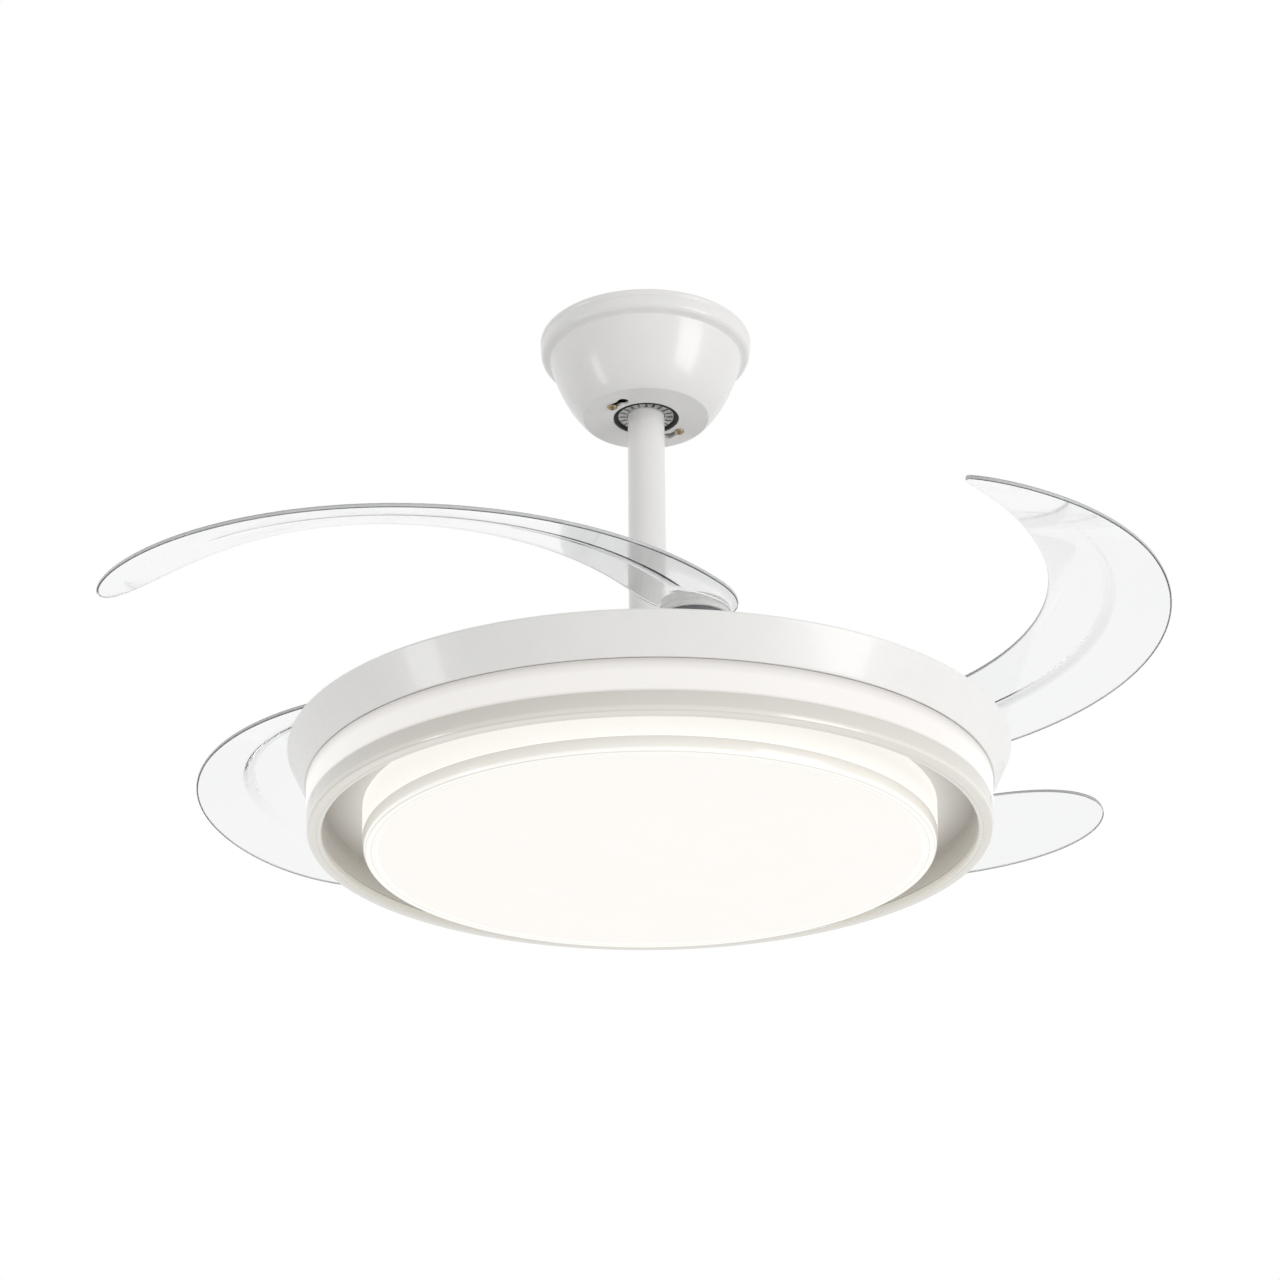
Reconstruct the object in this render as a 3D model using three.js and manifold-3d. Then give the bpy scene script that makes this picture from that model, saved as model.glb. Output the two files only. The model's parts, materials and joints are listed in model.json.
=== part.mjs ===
// Retractable blade ceiling fan with a round lamp.
// Four clear scythe blades fold over the lamp drum. A pinion under each blade meshes
// with one large gear, so that all four swing out and fold together.
// Millimetres, +Z up. The origin is the middle of the ceiling face.
import * as THREE from 'three';
import { mergeVertices } from 'three/addons/utils/BufferGeometryUtils.js';
import Module from 'manifold-3d';

const wasm = await Module();
wasm.setup();

// ---------------------------------------------------------------- driving dimensions
const GAP = 0.3; // clearance between pieces that touch on the real fan
const DROP = 334; // ceiling to the top edge of the drum

const CANOPY_LIP = 14; // height of the beaded lip
const CANOPY_HEIGHT = 63.7;
const CANOPY_WALL = 1.8;
const LIP_REACH = 6; // lip outside the step under it
const BELL_SPREAD = 26; // radius that the bell gains from its flat underside to the step
const BELL_FULLNESS = 5; // how far inside the step the bell's curve is drawn in
const BASE_CLEAR = 4.9; // edge of the underside outside the strap's corners
const HOLE_CLEAR = 3.5; // canopy's hole outside the ball's flat underside
const SCREW_INSET = 7; // screw circle outside the hole
const KEYHOLE_TURN = 20 * Math.PI / 180; // arc from the screw to the wide end
const KEYHOLE_WIDE = 4.2; // radius of the wide end
const CANOPY_SCREW = 2; // shank radius

const BRACKET_TURN = 37 * Math.PI / 180; // the strap lies on the line of the canopy screws
const BRACKET_LUG = 14; // plate on the ceiling, outside the legs
const BRACKET_FLARE = 7; // the legs lean out by this much
const LEG_CLEAR = 6; // foot of a leg outside the screws
const BRACKET_WIDTH = 36;
const BRACKET_STEEL = 2.5;
const BRACKET_SLOT = 22; // ceiling screw slots, distance from the middle
const BALL_RADIUS = 26;
const BALL_CENTRE = 46; // below the ceiling
const BALL_TOP = 12; // flat top above the ball's centre
const BALL_BASE = 16; // flat underside below the ball's centre
const BALL_RIBS = 20;
const GASKET_WIDTH = 2.2;

const ROD_RADIUS = 13.5;
const ROD_BORE = 11.5;
const ROD_TOP = 28; // below the ceiling
const PIN_RADIUS = 3;

const DRUM_RADIUS = 250; // top edge
const DRUM_HEIGHT = 27;
const DRUM_DRAFT = 12.8; // radius lost from the top edge to the lower one
const DRUM_WALL = 1.5;
const DRUM_RECESS = 2; // top plate below the rolled edge

const BAND_HEIGHT = 21.3; // lit outer band
const BAND_WALL = 4;
const RING_HEIGHT = 13.5; // clear ring under the band
const RING_WIDTH = 10;
const TROUGH_WIDTH = 27;
const TROUGH_DEPTH = 22;
const DISC_RIM = 10.2; // clear rim under it
const DISC_FLANGE = 9;
const DISC_DROP = 10.6; // inner disc below the outer ring
const SHEET = 1.5; // chassis and trough steel
const BOARD = 1.6; // circuit board thickness

const MODULE = 2.5;
const PINION_TEETH = 15;
const PIVOT_INSET = 61.2; // pivots inside the drum's edge, before the teeth are rounded
const GEAR_PRESSURE = 20 * Math.PI / 180;
const GEAR_BACKLASH = 0.5;
const GEAR_BASE = 8; // height of the gears' lower face over the drum's edge
const GEAR_THICK = 4.4;
const FLANGE_THICK = 2.5; // round flange over a blade's pinion
const FLANGE_GAP = 0.8; // between that flange and the large gear
const BLADE_COUNT = 4;
const BLADE_PHASE = 8.3 * Math.PI / 180; // first pivot, seen from the +X axis
const OPEN_AT_REST = 54.5 * Math.PI / 180; // blades swung out from folded
const OPEN_LIMIT = 110 * Math.PI / 180; // full spread from folded

const BLADE_ARC = 130 * Math.PI / 180; // pivot to tip, round the fan's axis when folded
const BLADE_TAIL = 6 * Math.PI / 180; // rounded end behind the pivot
const TAIL_ROUND = 2.4; // length of that rounding, in tails
const TIP_SHARE = 0.33; // share of the arc that the tip's rounding takes
const TIP_BLUNT = 2.4; // 2 makes an elliptic tip, more a blunter one
const BLADE_WIDTH = 74; // at the root
const BLADE_FLARE = 8; // width gained towards the tip
const BLADE_OUTSET = 2.3; // middle line outside the pivot circle at the root
const BLADE_SWEEP = 22; // radius that the middle line gains towards the tip
const BLADE_HOOK = 6; // radius that the very tip gains
const BLADE_THICK = 2.8;
const BLADE_EDGE = 0.55; // thickness of the edges, as a share
const BLADE_LOW = 23; // outer edge at the root, over the drum's edge
const BLADE_CLIMB = 13.5; // rise to the tip, so that the tip clears the next hub
const BLADE_PITCH = 16.8; // inner edge over outer edge at the root
const BLADE_TWIST = 17.2; // extra pitch at the tip
const RIB_HEIGHT = 1.4;
const RIB_START = 0.06; // shares of the blade's arc between which the rib runs
const RIB_REACH = 0.8;
const HUB_RADIUS = 23.3;
const HOLDER_BOSS = 9;
const BOSS_DEPTH = 4; // top of the holder's boss below the hub's top
const PIVOT_RADIUS = 5;

const CARRIER_BASE = 4;
const CARRIER_THICK = 3;
const CARRIER_EDGE = 8; // round middle of the carrier outside the motor
const CARRIER_ARM = 21; // half width of an arm at its outer end
const MOTOR_RADIUS = 84;
const MOTOR_SPLIT = 30;
const MOTOR_TOP = 52;
const MOTOR_WALL = 3;
const MOTOR_VENTS = 8;
const SHAFT_RADIUS = 9;
const SHAFT_BORE = 5.5;
const BEARING_WIDTH = 7;
const BEARING_RADIUS = 17;
const COUPLING_RADIUS = 21;
const COUPLING_BASE = 57;
const COUPLING_TOP = 96;
const SPRING_TURNS = 3;
const SPRING_WIRE = 1.5;
const SPRING_PITCH = 3.4;

// ---------------------------------------------------------------- dimensions that follow
const PINION_PITCH = MODULE * PINION_TEETH / 2;
// The four pinions mesh alike only if the large gear's teeth come in fours.
const SYNC_TEETH = BLADE_COUNT * Math.round(
  (DRUM_RADIUS - PIVOT_INSET - PINION_PITCH) * 2 / MODULE / BLADE_COUNT);
const SYNC_PITCH = MODULE * SYNC_TEETH / 2;
const PIVOT_CIRCLE = PINION_PITCH + SYNC_PITCH;
const HUB_LOW = GEAR_BASE + GEAR_THICK + FLANGE_GAP + FLANGE_THICK + GAP;
// The hub's top is level with the blade's sheet over the pivot.
const HUB_HIGH = BLADE_LOW + BLADE_PITCH * (0.5 + BLADE_OUTSET / BLADE_WIDTH) + GAP;

const BALL_HEIGHT = DROP - BALL_CENTRE; // over the drum's edge
const BALL_FLAT = Math.sqrt(BALL_RADIUS ** 2 - BALL_BASE ** 2); // radius of its underside
const CANOPY_HOLE = BALL_FLAT + HOLE_CLEAR;
const KEYHOLE_PITCH = CANOPY_HOLE + SCREW_INSET;
const BRACKET_LEG_BASE = KEYHOLE_PITCH + LEG_CLEAR;
const BRACKET_LEG_TOP = BRACKET_LEG_BASE + BRACKET_FLARE;
const BRACKET_TOP = BRACKET_LEG_TOP + BRACKET_LUG; // half length of the plate on the ceiling
const CANOPY_BASE = Math.hypot(BRACKET_LEG_BASE, BRACKET_WIDTH / 2) + BASE_CLEAR;
const CANOPY_STEP = CANOPY_BASE + BELL_SPREAD;
const CANOPY_RIM = CANOPY_STEP + LIP_REACH; // radius at the ceiling
const DRUM_LOWER = DRUM_RADIUS - DRUM_DRAFT;
const BAND_TOP = -DRUM_HEIGHT - GAP;
const BAND_BASE = BAND_TOP - BAND_HEIGHT;
const BAND_OUTER = DRUM_LOWER - 1;
const RING_BASE = BAND_BASE - RING_HEIGHT;
const RING_OUTER = BAND_OUTER - 2;
const RING_INNER = RING_OUTER - RING_WIDTH;
const DISC_OUTER = RING_INNER - TROUGH_WIDTH;
const DISC_BASE = RING_BASE - DISC_DROP;
const RIM_TOP = DISC_BASE + DISC_RIM;
const TROUGH_ROOF = RING_BASE + TROUGH_DEPTH;
const DISC_TOP = TROUGH_ROOF - GAP;
const PLATE_TOP = -DRUM_RECESS;
const PLATE_BASE = PLATE_TOP - DRUM_WALL;
const CARRIER_TOP = CARRIER_BASE + CARRIER_THICK;
const CARRIER_DISC = MOTOR_RADIUS + CARRIER_EDGE;

const FINE = 32; // facets round the lamp
const MEDIUM = 20;
const SMALL = 8;
const BALL_FACETS = 20;
const TURN_STEPS = 24; // steps in a turn of the spring
const BLADE_STEPS = 22; // along a blade

// ---------------------------------------------------------------- finishes
const finish = (color, roughness, metalness, more = {}) => () =>
  new THREE.MeshStandardMaterial({ color, roughness, metalness, ...more });
const whitePaint = finish(0xf1f0ee, 0.32, 0);
const greyPaint = finish(0xbdbbb6, 0.45, 0);
const clearPlastic = finish(0xf2f4f5, 0.06, 0, { transparent: true, opacity: 0.28 });
const opalPlastic = finish(0xfdfaf5, 0.35, 0, { emissive: 0xfff6e8, emissiveIntensity: 0.4 });
const steel = finish(0xb4b5b8, 0.32, 1);
const zincSteel = finish(0xc3c2bd, 0.4, 1);
const aluminium = finish(0xc9cacc, 0.45, 1);
const brass = finish(0xb79a5b, 0.35, 1);
const copper = finish(0xa8643c, 0.45, 1);
const darkNylon = finish(0x4b4d50, 0.55, 0);
const whiteNylon = finish(0xe6e5e1, 0.5, 0);
const blackRubber = finish(0x1c1c1d, 0.8, 0);
const boardWhite = finish(0xe9ebe8, 0.5, 0);

// ---------------------------------------------------------------- solids
function signedVolume(positions, index) {
  const [a, b, c] = [new THREE.Vector3(), new THREE.Vector3(), new THREE.Vector3()];
  let total = 0;
  for (let i = 0; i < index.length; i += 3) {
    a.fromBufferAttribute(positions, index[i]);
    b.fromBufferAttribute(positions, index[i + 1]);
    c.fromBufferAttribute(positions, index[i + 2]);
    total += a.dot(b.cross(c));
  }
  return total;
}

// A closed three.js geometry as a solid, turned outside out where it has to be.
function solid(geometry) {
  const bare = geometry.clone();
  for (const name of ['normal', 'uv']) bare.deleteAttribute(name);
  const merged = mergeVertices(bare, 1e-4);
  const source = merged.index.array;
  const index = [];
  for (let i = 0; i < source.length; i += 3) {
    const [a, b, c] = [source[i], source[i + 1], source[i + 2]];
    if (a !== b && b !== c && a !== c) index.push(a, b, c);
  }
  if (signedVolume(merged.attributes.position, index) < 0) index.reverse();
  const mesh = new wasm.Mesh({
    numProp: 3,
    vertProperties: new Float32Array(merged.attributes.position.array),
    triVerts: new Uint32Array(index),
  });
  return new wasm.Manifold(mesh);
}

function geometryOf(body) {
  const mesh = body.getMesh();
  const geometry = new THREE.BufferGeometry();
  geometry.setAttribute('position', new THREE.BufferAttribute(mesh.vertProperties, 3));
  geometry.setIndex(new THREE.BufferAttribute(mesh.triVerts, 1));
  geometry.computeVertexNormals();
  return geometry;
}

// [radius, height] points that close on themselves, spun round Z.
function revolve(profile, facets = MEDIUM) {
  const points = [...profile, profile[0]].map(([r, z]) => new THREE.Vector2(r, z));
  return solid(new THREE.LatheGeometry(points, facets).rotateX(Math.PI / 2));
}

const tube = (inner, outer, low, high, facets) =>
  revolve([[inner, low], [outer, low], [outer, high], [inner, high]], facets);

const rod = (radius, low, high, facets = SMALL) => solid(
  new THREE.CylinderGeometry(radius, radius, high - low, facets)
    .rotateX(Math.PI / 2).translate(0, 0, (low + high) / 2));

// Radius of a many-sided hole whose flats stay clear of what turns in it.
const roomy = (radius, facets) => (radius + GAP) / Math.cos(Math.PI / facets);

const crossRod = (radius, length, height, facets = SMALL) => solid(
  new THREE.CylinderGeometry(radius, radius, length, facets)
    .rotateZ(Math.PI / 2).translate(0, 0, height));

const block = (x, y, z, centre) => solid(
  new THREE.BoxGeometry(x, y, z).translate(...centre));

function plate(shape, low, high, curveSegments = 8) {
  const options = { depth: high - low, bevelEnabled: false, curveSegments };
  return solid(new THREE.ExtrudeGeometry(shape, options).translate(0, 0, low));
}

const outline = (points) => new THREE.Shape(points.map(([x, y]) => new THREE.Vector2(x, y)));
const disc = (x, y, radius) => new THREE.Shape().absarc(x, y, radius, 0, 2 * Math.PI);
const turned = (body, angle) => body.rotate([0, 0, angle * 180 / Math.PI]);

function around(count, make) {
  return Array.from({ length: count }, (_, i) => make(2 * Math.PI * i / count, i));
}

// Adds one named piece to a group.
function add(group, name, body, material) {
  const mesh = new THREE.Mesh(geometryOf(body), material());
  mesh.name = name;
  group.add(mesh);
}

// ---------------------------------------------------------------- ceiling mount
function bellCurve(inset, pieces) {
  const curve = new THREE.QuadraticBezierCurve(
    new THREE.Vector2(CANOPY_STEP - inset, -CANOPY_LIP - 2),
    new THREE.Vector2(CANOPY_STEP - BELL_FULLNESS - inset, -CANOPY_HEIGHT * 0.78 + inset),
    new THREE.Vector2(CANOPY_BASE - inset, -CANOPY_HEIGHT + inset));
  return curve.getPoints(pieces).map((p) => [p.x, p.y]);
}

// Keyhole outline on the screw circle: a wide round end and a narrow slot to the screw.
function keyholes() {
  const turns = around(2, (angle) => BRACKET_TURN + angle);
  const slotWidth = CANOPY_SCREW + 0.4;
  return turns.flatMap((angle) => {
    const slot = new THREE.Shape();
    slot.absarc(0, 0, KEYHOLE_PITCH + slotWidth, angle, angle + KEYHOLE_TURN, false);
    slot.absarc(0, 0, KEYHOLE_PITCH - slotWidth, angle + KEYHOLE_TURN, angle, true);
    const at = (turn) => [KEYHOLE_PITCH * Math.cos(turn), KEYHOLE_PITCH * Math.sin(turn)];
    const wide = disc(...at(angle + KEYHOLE_TURN), KEYHOLE_WIDE);
    const narrow = disc(...at(angle), slotWidth);
    return [slot, wide, narrow].map(
      (shape) => plate(shape, -CANOPY_HEIGHT - 1, -CANOPY_HEIGHT + CANOPY_WALL + 1));
  });
}

function canopy() {
  const lip = [
    [CANOPY_RIM, 0], [CANOPY_RIM, -3], [CANOPY_RIM - 1.2, -4.2], [CANOPY_RIM - 0.2, -5.4],
    [CANOPY_RIM - 0.4, -CANOPY_LIP + 3], [CANOPY_RIM - 2.2, -CANOPY_LIP],
    [CANOPY_STEP + 1, -CANOPY_LIP - 0.8],
  ];
  const shell = revolve([
    ...lip, ...bellCurve(0, 4),
    [CANOPY_HOLE, -CANOPY_HEIGHT], [CANOPY_HOLE, -CANOPY_HEIGHT + CANOPY_WALL],
    ...bellCurve(CANOPY_WALL, 3).reverse(), [CANOPY_RIM - 1.4 - CANOPY_WALL, -CANOPY_LIP + 2],
    [CANOPY_RIM - CANOPY_WALL, 0],
  ], 26);
  return keyholes().reduce((body, cut) => body.subtract(cut), shell);
}

const seatBase = -(CANOPY_HEIGHT - CANOPY_WALL - 3); // underside of the strap's seat

function hangerBracket() {
  const t = BRACKET_STEEL;
  const strap = outline([
    [-BRACKET_TOP, 0], [BRACKET_TOP, 0], [BRACKET_TOP, -t], [BRACKET_LEG_TOP, -t],
    [BRACKET_LEG_BASE, seatBase], [-BRACKET_LEG_BASE, seatBase], [-BRACKET_LEG_TOP, -t],
    [-BRACKET_TOP, -t],
  ]);
  const inside = outline([
    [-BRACKET_LEG_TOP + t, -t], [-BRACKET_LEG_BASE + t, seatBase + t],
    [BRACKET_LEG_BASE - t, seatBase + t], [BRACKET_LEG_TOP - t, -t],
  ]);
  const across = (shape, width) => solid(
    new THREE.ExtrudeGeometry(shape, { depth: width, bevelEnabled: false })
      .rotateX(Math.PI / 2).translate(0, width / 2, 0));
  let body = across(strap, BRACKET_WIDTH).subtract(across(inside, BRACKET_WIDTH + 2));
  const seatRadius = roomy(BALL_RADIUS, BALL_FACETS) / Math.cos(Math.PI / BALL_FACETS);
  body = body.subtract(ballSphere(seatRadius, -BALL_CENTRE));
  for (const side of [-1, 1]) {
    const slot = outline([[-3, -6], [3, -6], [3, 6], [-3, 6]]);
    body = body.subtract(plate(slot, -t - 1, 1).translate([side * BRACKET_SLOT, 0, 0]));
    const tapped = rod(CANOPY_SCREW + GAP, seatBase - 1, seatBase + t + 1, 8);
    body = body.subtract(tapped.translate([side * KEYHOLE_PITCH, 0, 0]));
  }
  return turned(body, BRACKET_TURN);
}

function canopyScrew(turn) {
  const face = -CANOPY_HEIGHT - GAP;
  const body = revolve([
    [0, face - 1.9], [2.2, face - 1.9], [3.6, face - 0.6], [3.6, face],
    [CANOPY_SCREW, face], [CANOPY_SCREW, seatBase + BRACKET_STEEL + 1.5],
    [0, seatBase + BRACKET_STEEL + 1.5],
  ], 12);
  return turned(body.translate([KEYHOLE_PITCH, 0, 0]), turn);
}

function ballGasket() {
  const high = -BALL_CENTRE - BALL_BASE + 0.6;
  const outer = CANOPY_HOLE - GAP;
  return tube(outer - GASKET_WIDTH, outer, -CANOPY_HEIGHT + 0.2, high, MEDIUM);
}

function ballSphere(radius, height) {
  return solid(new THREE.SphereGeometry(radius, BALL_FACETS, BALL_FACETS / 2)
    .rotateX(Math.PI / 2).translate(0, 0, height));
}

function hangerBall() {
  const top = BALL_HEIGHT + BALL_TOP;
  const base = BALL_HEIGHT - BALL_BASE;
  const flats = tube(ROD_RADIUS + GAP, BALL_RADIUS + 1, base, top, MEDIUM);
  let body = ballSphere(BALL_RADIUS, BALL_HEIGHT).intersect(flats);
  const groove = block(2 * BALL_RADIUS + 2, 2 * (PIN_RADIUS + GAP), 2 * PIN_RADIUS,
    [0, 0, top + PIN_RADIUS - PIN_RADIUS * 1.6]);
  body = body.subtract(groove);
  const reach = Math.sqrt(BALL_RADIUS ** 2 - BALL_BASE ** 2) - ROD_RADIUS;
  for (const cut of around(BALL_RIBS, (angle) => turned(
    block(reach - 1.6, 1.5, 2.4, [ROD_RADIUS + reach / 2, 0, base]), angle))) {
    body = body.subtract(cut);
  }
  return body;
}

// ---------------------------------------------------------------- downrod
const ballPinHeight = BALL_HEIGHT + BALL_TOP - PIN_RADIUS * 0.6 + GAP;
const couplingPinHeight = COUPLING_TOP - 12;
const rodBase = COUPLING_BASE + 12;

function downrod() {
  const wall = tube(ROD_BORE, ROD_RADIUS, rodBase, DROP - ROD_TOP, 20);
  return wall
    .subtract(crossRod(PIN_RADIUS + GAP, 60, ballPinHeight))
    .subtract(crossRod(PIN_RADIUS + GAP, 60, couplingPinHeight));
}

function rodCoupling() {
  const r = COUPLING_RADIUS;
  const body = revolve([
    [SHAFT_RADIUS + GAP, COUPLING_BASE], [r - 5, COUPLING_BASE], [r, COUPLING_BASE + 6],
    [r, COUPLING_TOP - 3], [r - 2, COUPLING_TOP], [ROD_RADIUS + GAP, COUPLING_TOP],
    [ROD_RADIUS + GAP, rodBase - GAP], [SHAFT_RADIUS + GAP, rodBase - GAP],
  ], 20);
  const screwHole = solid(new THREE.CylinderGeometry(2 + GAP, 2 + GAP, 2 * (r - ROD_BORE), 8)
    .translate(0, -r, couplingPinHeight));
  return body.subtract(crossRod(PIN_RADIUS + GAP, 60, couplingPinHeight)).subtract(screwHole);
}

function setScrew() {
  const tip = -ROD_RADIUS - GAP;
  const length = COUPLING_RADIUS + 1 + tip;
  return solid(new THREE.CylinderGeometry(2, 2, length, 8)
    .translate(0, tip - length / 2, couplingPinHeight));
}

// ---------------------------------------------------------------- motor
const lowerBearing = CARRIER_TOP + 1;
const upperBearing = MOTOR_TOP - BEARING_WIDTH - 1;

function motorShaft() {
  const collar = BEARING_RADIUS - 1;
  return revolve([
    [SHAFT_BORE, PLATE_BASE - 12], [SHAFT_RADIUS, PLATE_BASE - 12], [SHAFT_RADIUS, PLATE_TOP + GAP],
    [collar, PLATE_TOP + GAP], [collar, CARRIER_BASE - 2.5], [SHAFT_RADIUS, CARRIER_BASE - 2.5],
    [SHAFT_RADIUS, rodBase - 1.5], [SHAFT_BORE, rodBase - 1.5],
  ], 16);
}

function shaftNut() {
  const hexagon = outline(around(6, (angle) => [15.6 * Math.cos(angle), 15.6 * Math.sin(angle)]));
  const nut = plate(hexagon, PLATE_BASE - GAP - 7, PLATE_BASE - GAP);
  return nut.subtract(rod(SHAFT_RADIUS + GAP, PLATE_BASE - 12, PLATE_BASE + 1, 16));
}

// Laminated core with nine wound poles.
function motorStator() {
  const low = CARRIER_TOP + BEARING_WIDTH + 5;
  const high = upperBearing - 4;
  let body = tube(SHAFT_RADIUS + GAP, 34, low + 3, high - 3, 18);
  for (const pole of around(9, (angle) => turned(
    block(MOTOR_RADIUS - MOTOR_WALL - 40, 9, high - low, [(MOTOR_RADIUS - MOTOR_WALL + 22) / 2, 0,
      (low + high) / 2]), angle))) {
    body = body.add(pole);
  }
  return body;
}

function motorLowerShell() {
  const r = MOTOR_RADIUS;
  const floor = CARRIER_TOP + GAP + MOTOR_WALL;
  const seat = BEARING_RADIUS + GAP;
  const bearingTop = lowerBearing + BEARING_WIDTH;
  let body = revolve([
    [seat - 3, CARRIER_TOP + GAP], [r, CARRIER_TOP + GAP], [r, MOTOR_SPLIT], [r - MOTOR_WALL, MOTOR_SPLIT],
    [r - MOTOR_WALL, floor], [seat + 4, floor], [seat + 4, bearingTop], [seat, bearingTop],
    [seat, lowerBearing - GAP], [seat - 3, lowerBearing - GAP],
  ], 20);
  for (const hole of around(BLADE_COUNT, (angle) => carrierScrewAt(angle, GAP))) {
    body = body.subtract(hole);
  }
  return body;
}

// Domed cover with radial cooling vents.
function motorUpperShell() {
  const r = MOTOR_RADIUS;
  const seat = BEARING_RADIUS + GAP;
  const low = MOTOR_SPLIT + GAP;
  const shell = revolve([
    [r, low], [r, MOTOR_TOP - 12], [r - 4, MOTOR_TOP - 7], [r - 14, MOTOR_TOP - 4],
    [seat + 5, MOTOR_TOP - 1], [seat + 4, MOTOR_TOP + 1.5], [seat - 3, MOTOR_TOP + 1.5],
    [seat - 3, upperBearing + BEARING_WIDTH + GAP], [seat, upperBearing + BEARING_WIDTH + GAP],
    [seat, upperBearing], [seat + 4, upperBearing], [seat + 4, MOTOR_TOP - MOTOR_WALL - 1],
    [r - 14, MOTOR_TOP - MOTOR_WALL - 4], [r - MOTOR_WALL, MOTOR_TOP - 13], [r - MOTOR_WALL, low],
  ], 20);
  return around(MOTOR_VENTS, (angle) => turned(
    block(26, 5, 16, [r * 0.6, 0, MOTOR_TOP - 3]), angle)).reduce((b, cut) => b.subtract(cut), shell);
}

const bearing = (low) => tube(SHAFT_RADIUS + GAP, BEARING_RADIUS, low, low + BEARING_WIDTH, 16);

// ---------------------------------------------------------------- fold mechanism
const involute = (angle) => Math.tan(angle) - angle;

// Half angle of a tooth at a radius, on an involute flank.
function toothHalfAngle(teeth, radius) {
  const pitch = MODULE * teeth / 2;
  const base = pitch * Math.cos(GEAR_PRESSURE);
  const atPitch = (Math.PI * MODULE - GEAR_BACKLASH) / 4 / pitch;
  const pressure = Math.acos(Math.min(1, base / Math.max(radius, base)));
  return atPitch + involute(GEAR_PRESSURE) - involute(pressure);
}

// Spur gear outline; teeth that `cut` refuses are left as a plain rim at the root circle.
function gearShape(teeth, cut = () => true) {
  const pitch = MODULE * teeth / 2;
  const root = pitch - 1.25 * MODULE;
  const flank = [root, pitch + 0.95 * MODULE]; // a straight chord of the involute
  const points = [];
  for (let i = 0; i < teeth; i += 1) {
    const centre = 2 * Math.PI * i / teeth;
    const sides = cut(centre) ? [-1, 1] : [];
    if (sides.length === 0 && i % 6 === 0) points.push([root, centre]);
    for (const side of sides) {
      const radii = side < 0 ? flank : [...flank].reverse();
      for (const r of radii) points.push([r, centre + side * toothHalfAngle(teeth, r)]);
    }
  }
  return outline(points.map(([r, a]) => [r * Math.cos(a), r * Math.sin(a)]));
}

// Only the four arcs that the pinions roll along are toothed.
function syncGear() {
  const quarter = 2 * Math.PI / BLADE_COUNT;
  const rolled = PINION_TEETH / SYNC_TEETH;
  const margin = 2.5 * 2 * Math.PI / SYNC_TEETH; // spare teeth at each end of an arc
  // Blades that fold turn the gear forwards, blades that spread turn it back.
  const forward = OPEN_AT_REST * rolled + margin;
  const backward = (OPEN_LIMIT - OPEN_AT_REST) * rolled + margin;
  const meshed = (angle) => {
    const offset = ((angle + quarter / 2) % quarter) - quarter / 2;
    return offset < backward && offset > -forward;
  };
  const high = GEAR_BASE + GEAR_THICK;
  const inner = roomy(MOTOR_RADIUS, 24);
  const rimInner = SYNC_PITCH - 4.5 * MODULE;
  const spoke = 0.24; // half angle of a spoke at the rim, wider at the inner ring
  const window = new THREE.Shape();
  window.absarc(0, 0, rimInner, spoke, quarter - spoke, false);
  window.absarc(0, 0, inner + 11, quarter - 1.6 * spoke, 1.6 * spoke, true);
  let body = plate(gearShape(SYNC_TEETH, meshed), GEAR_BASE, high);
  body = body.subtract(rod(inner, GEAR_BASE - 1, high + 1, 24));
  for (const cut of around(BLADE_COUNT, (angle) => turned(
    plate(window, GEAR_BASE - 1, high + 1, 5), angle))) {
    body = body.subtract(cut);
  }
  const peg = rod(2.4, high - 0.5, high + 5, 12).translate([springPeg, 0, 0]);
  return body.add(peg);
}

const springInner = MOTOR_RADIUS + 2 + SPRING_WIRE / 2;
const springOuter = springInner + SPRING_TURNS * SPRING_PITCH * 0.85;
const springPeg = springOuter + SPRING_WIRE / 2 + 2.4 + GAP;
const springHeight = GEAR_BASE + GEAR_THICK + 1.6;

// Least distance between points of a path that are at least `apart` steps from each other.
function leastGap(points, apart) {
  let least = Infinity;
  points.forEach((point, i) => {
    for (const other of points.slice(i + apart)) least = Math.min(least, point.distanceTo(other));
  });
  return least;
}

// Flat spiral of square wire. Its outer end lies along the gear's peg.
function returnSpring() {
  const steps = SPRING_TURNS * TURN_STEPS;
  const points = Array.from({ length: steps + 1 }, (_, i) => {
    const share = i / steps;
    const angle = 2 * Math.PI * SPRING_TURNS * (share - 1);
    const radius = springInner + (springOuter - springInner) * share;
    return new THREE.Vector3(radius * Math.cos(angle), radius * Math.sin(angle), springHeight);
  });
  const gap = leastGap(points, TURN_STEPS / 2) - SPRING_WIRE;
  console.log(`return spring, least gap between its turns: ${gap.toFixed(2)} mm`);
  return ribbon(points, SPRING_WIRE, SPRING_WIRE);
}

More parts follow.
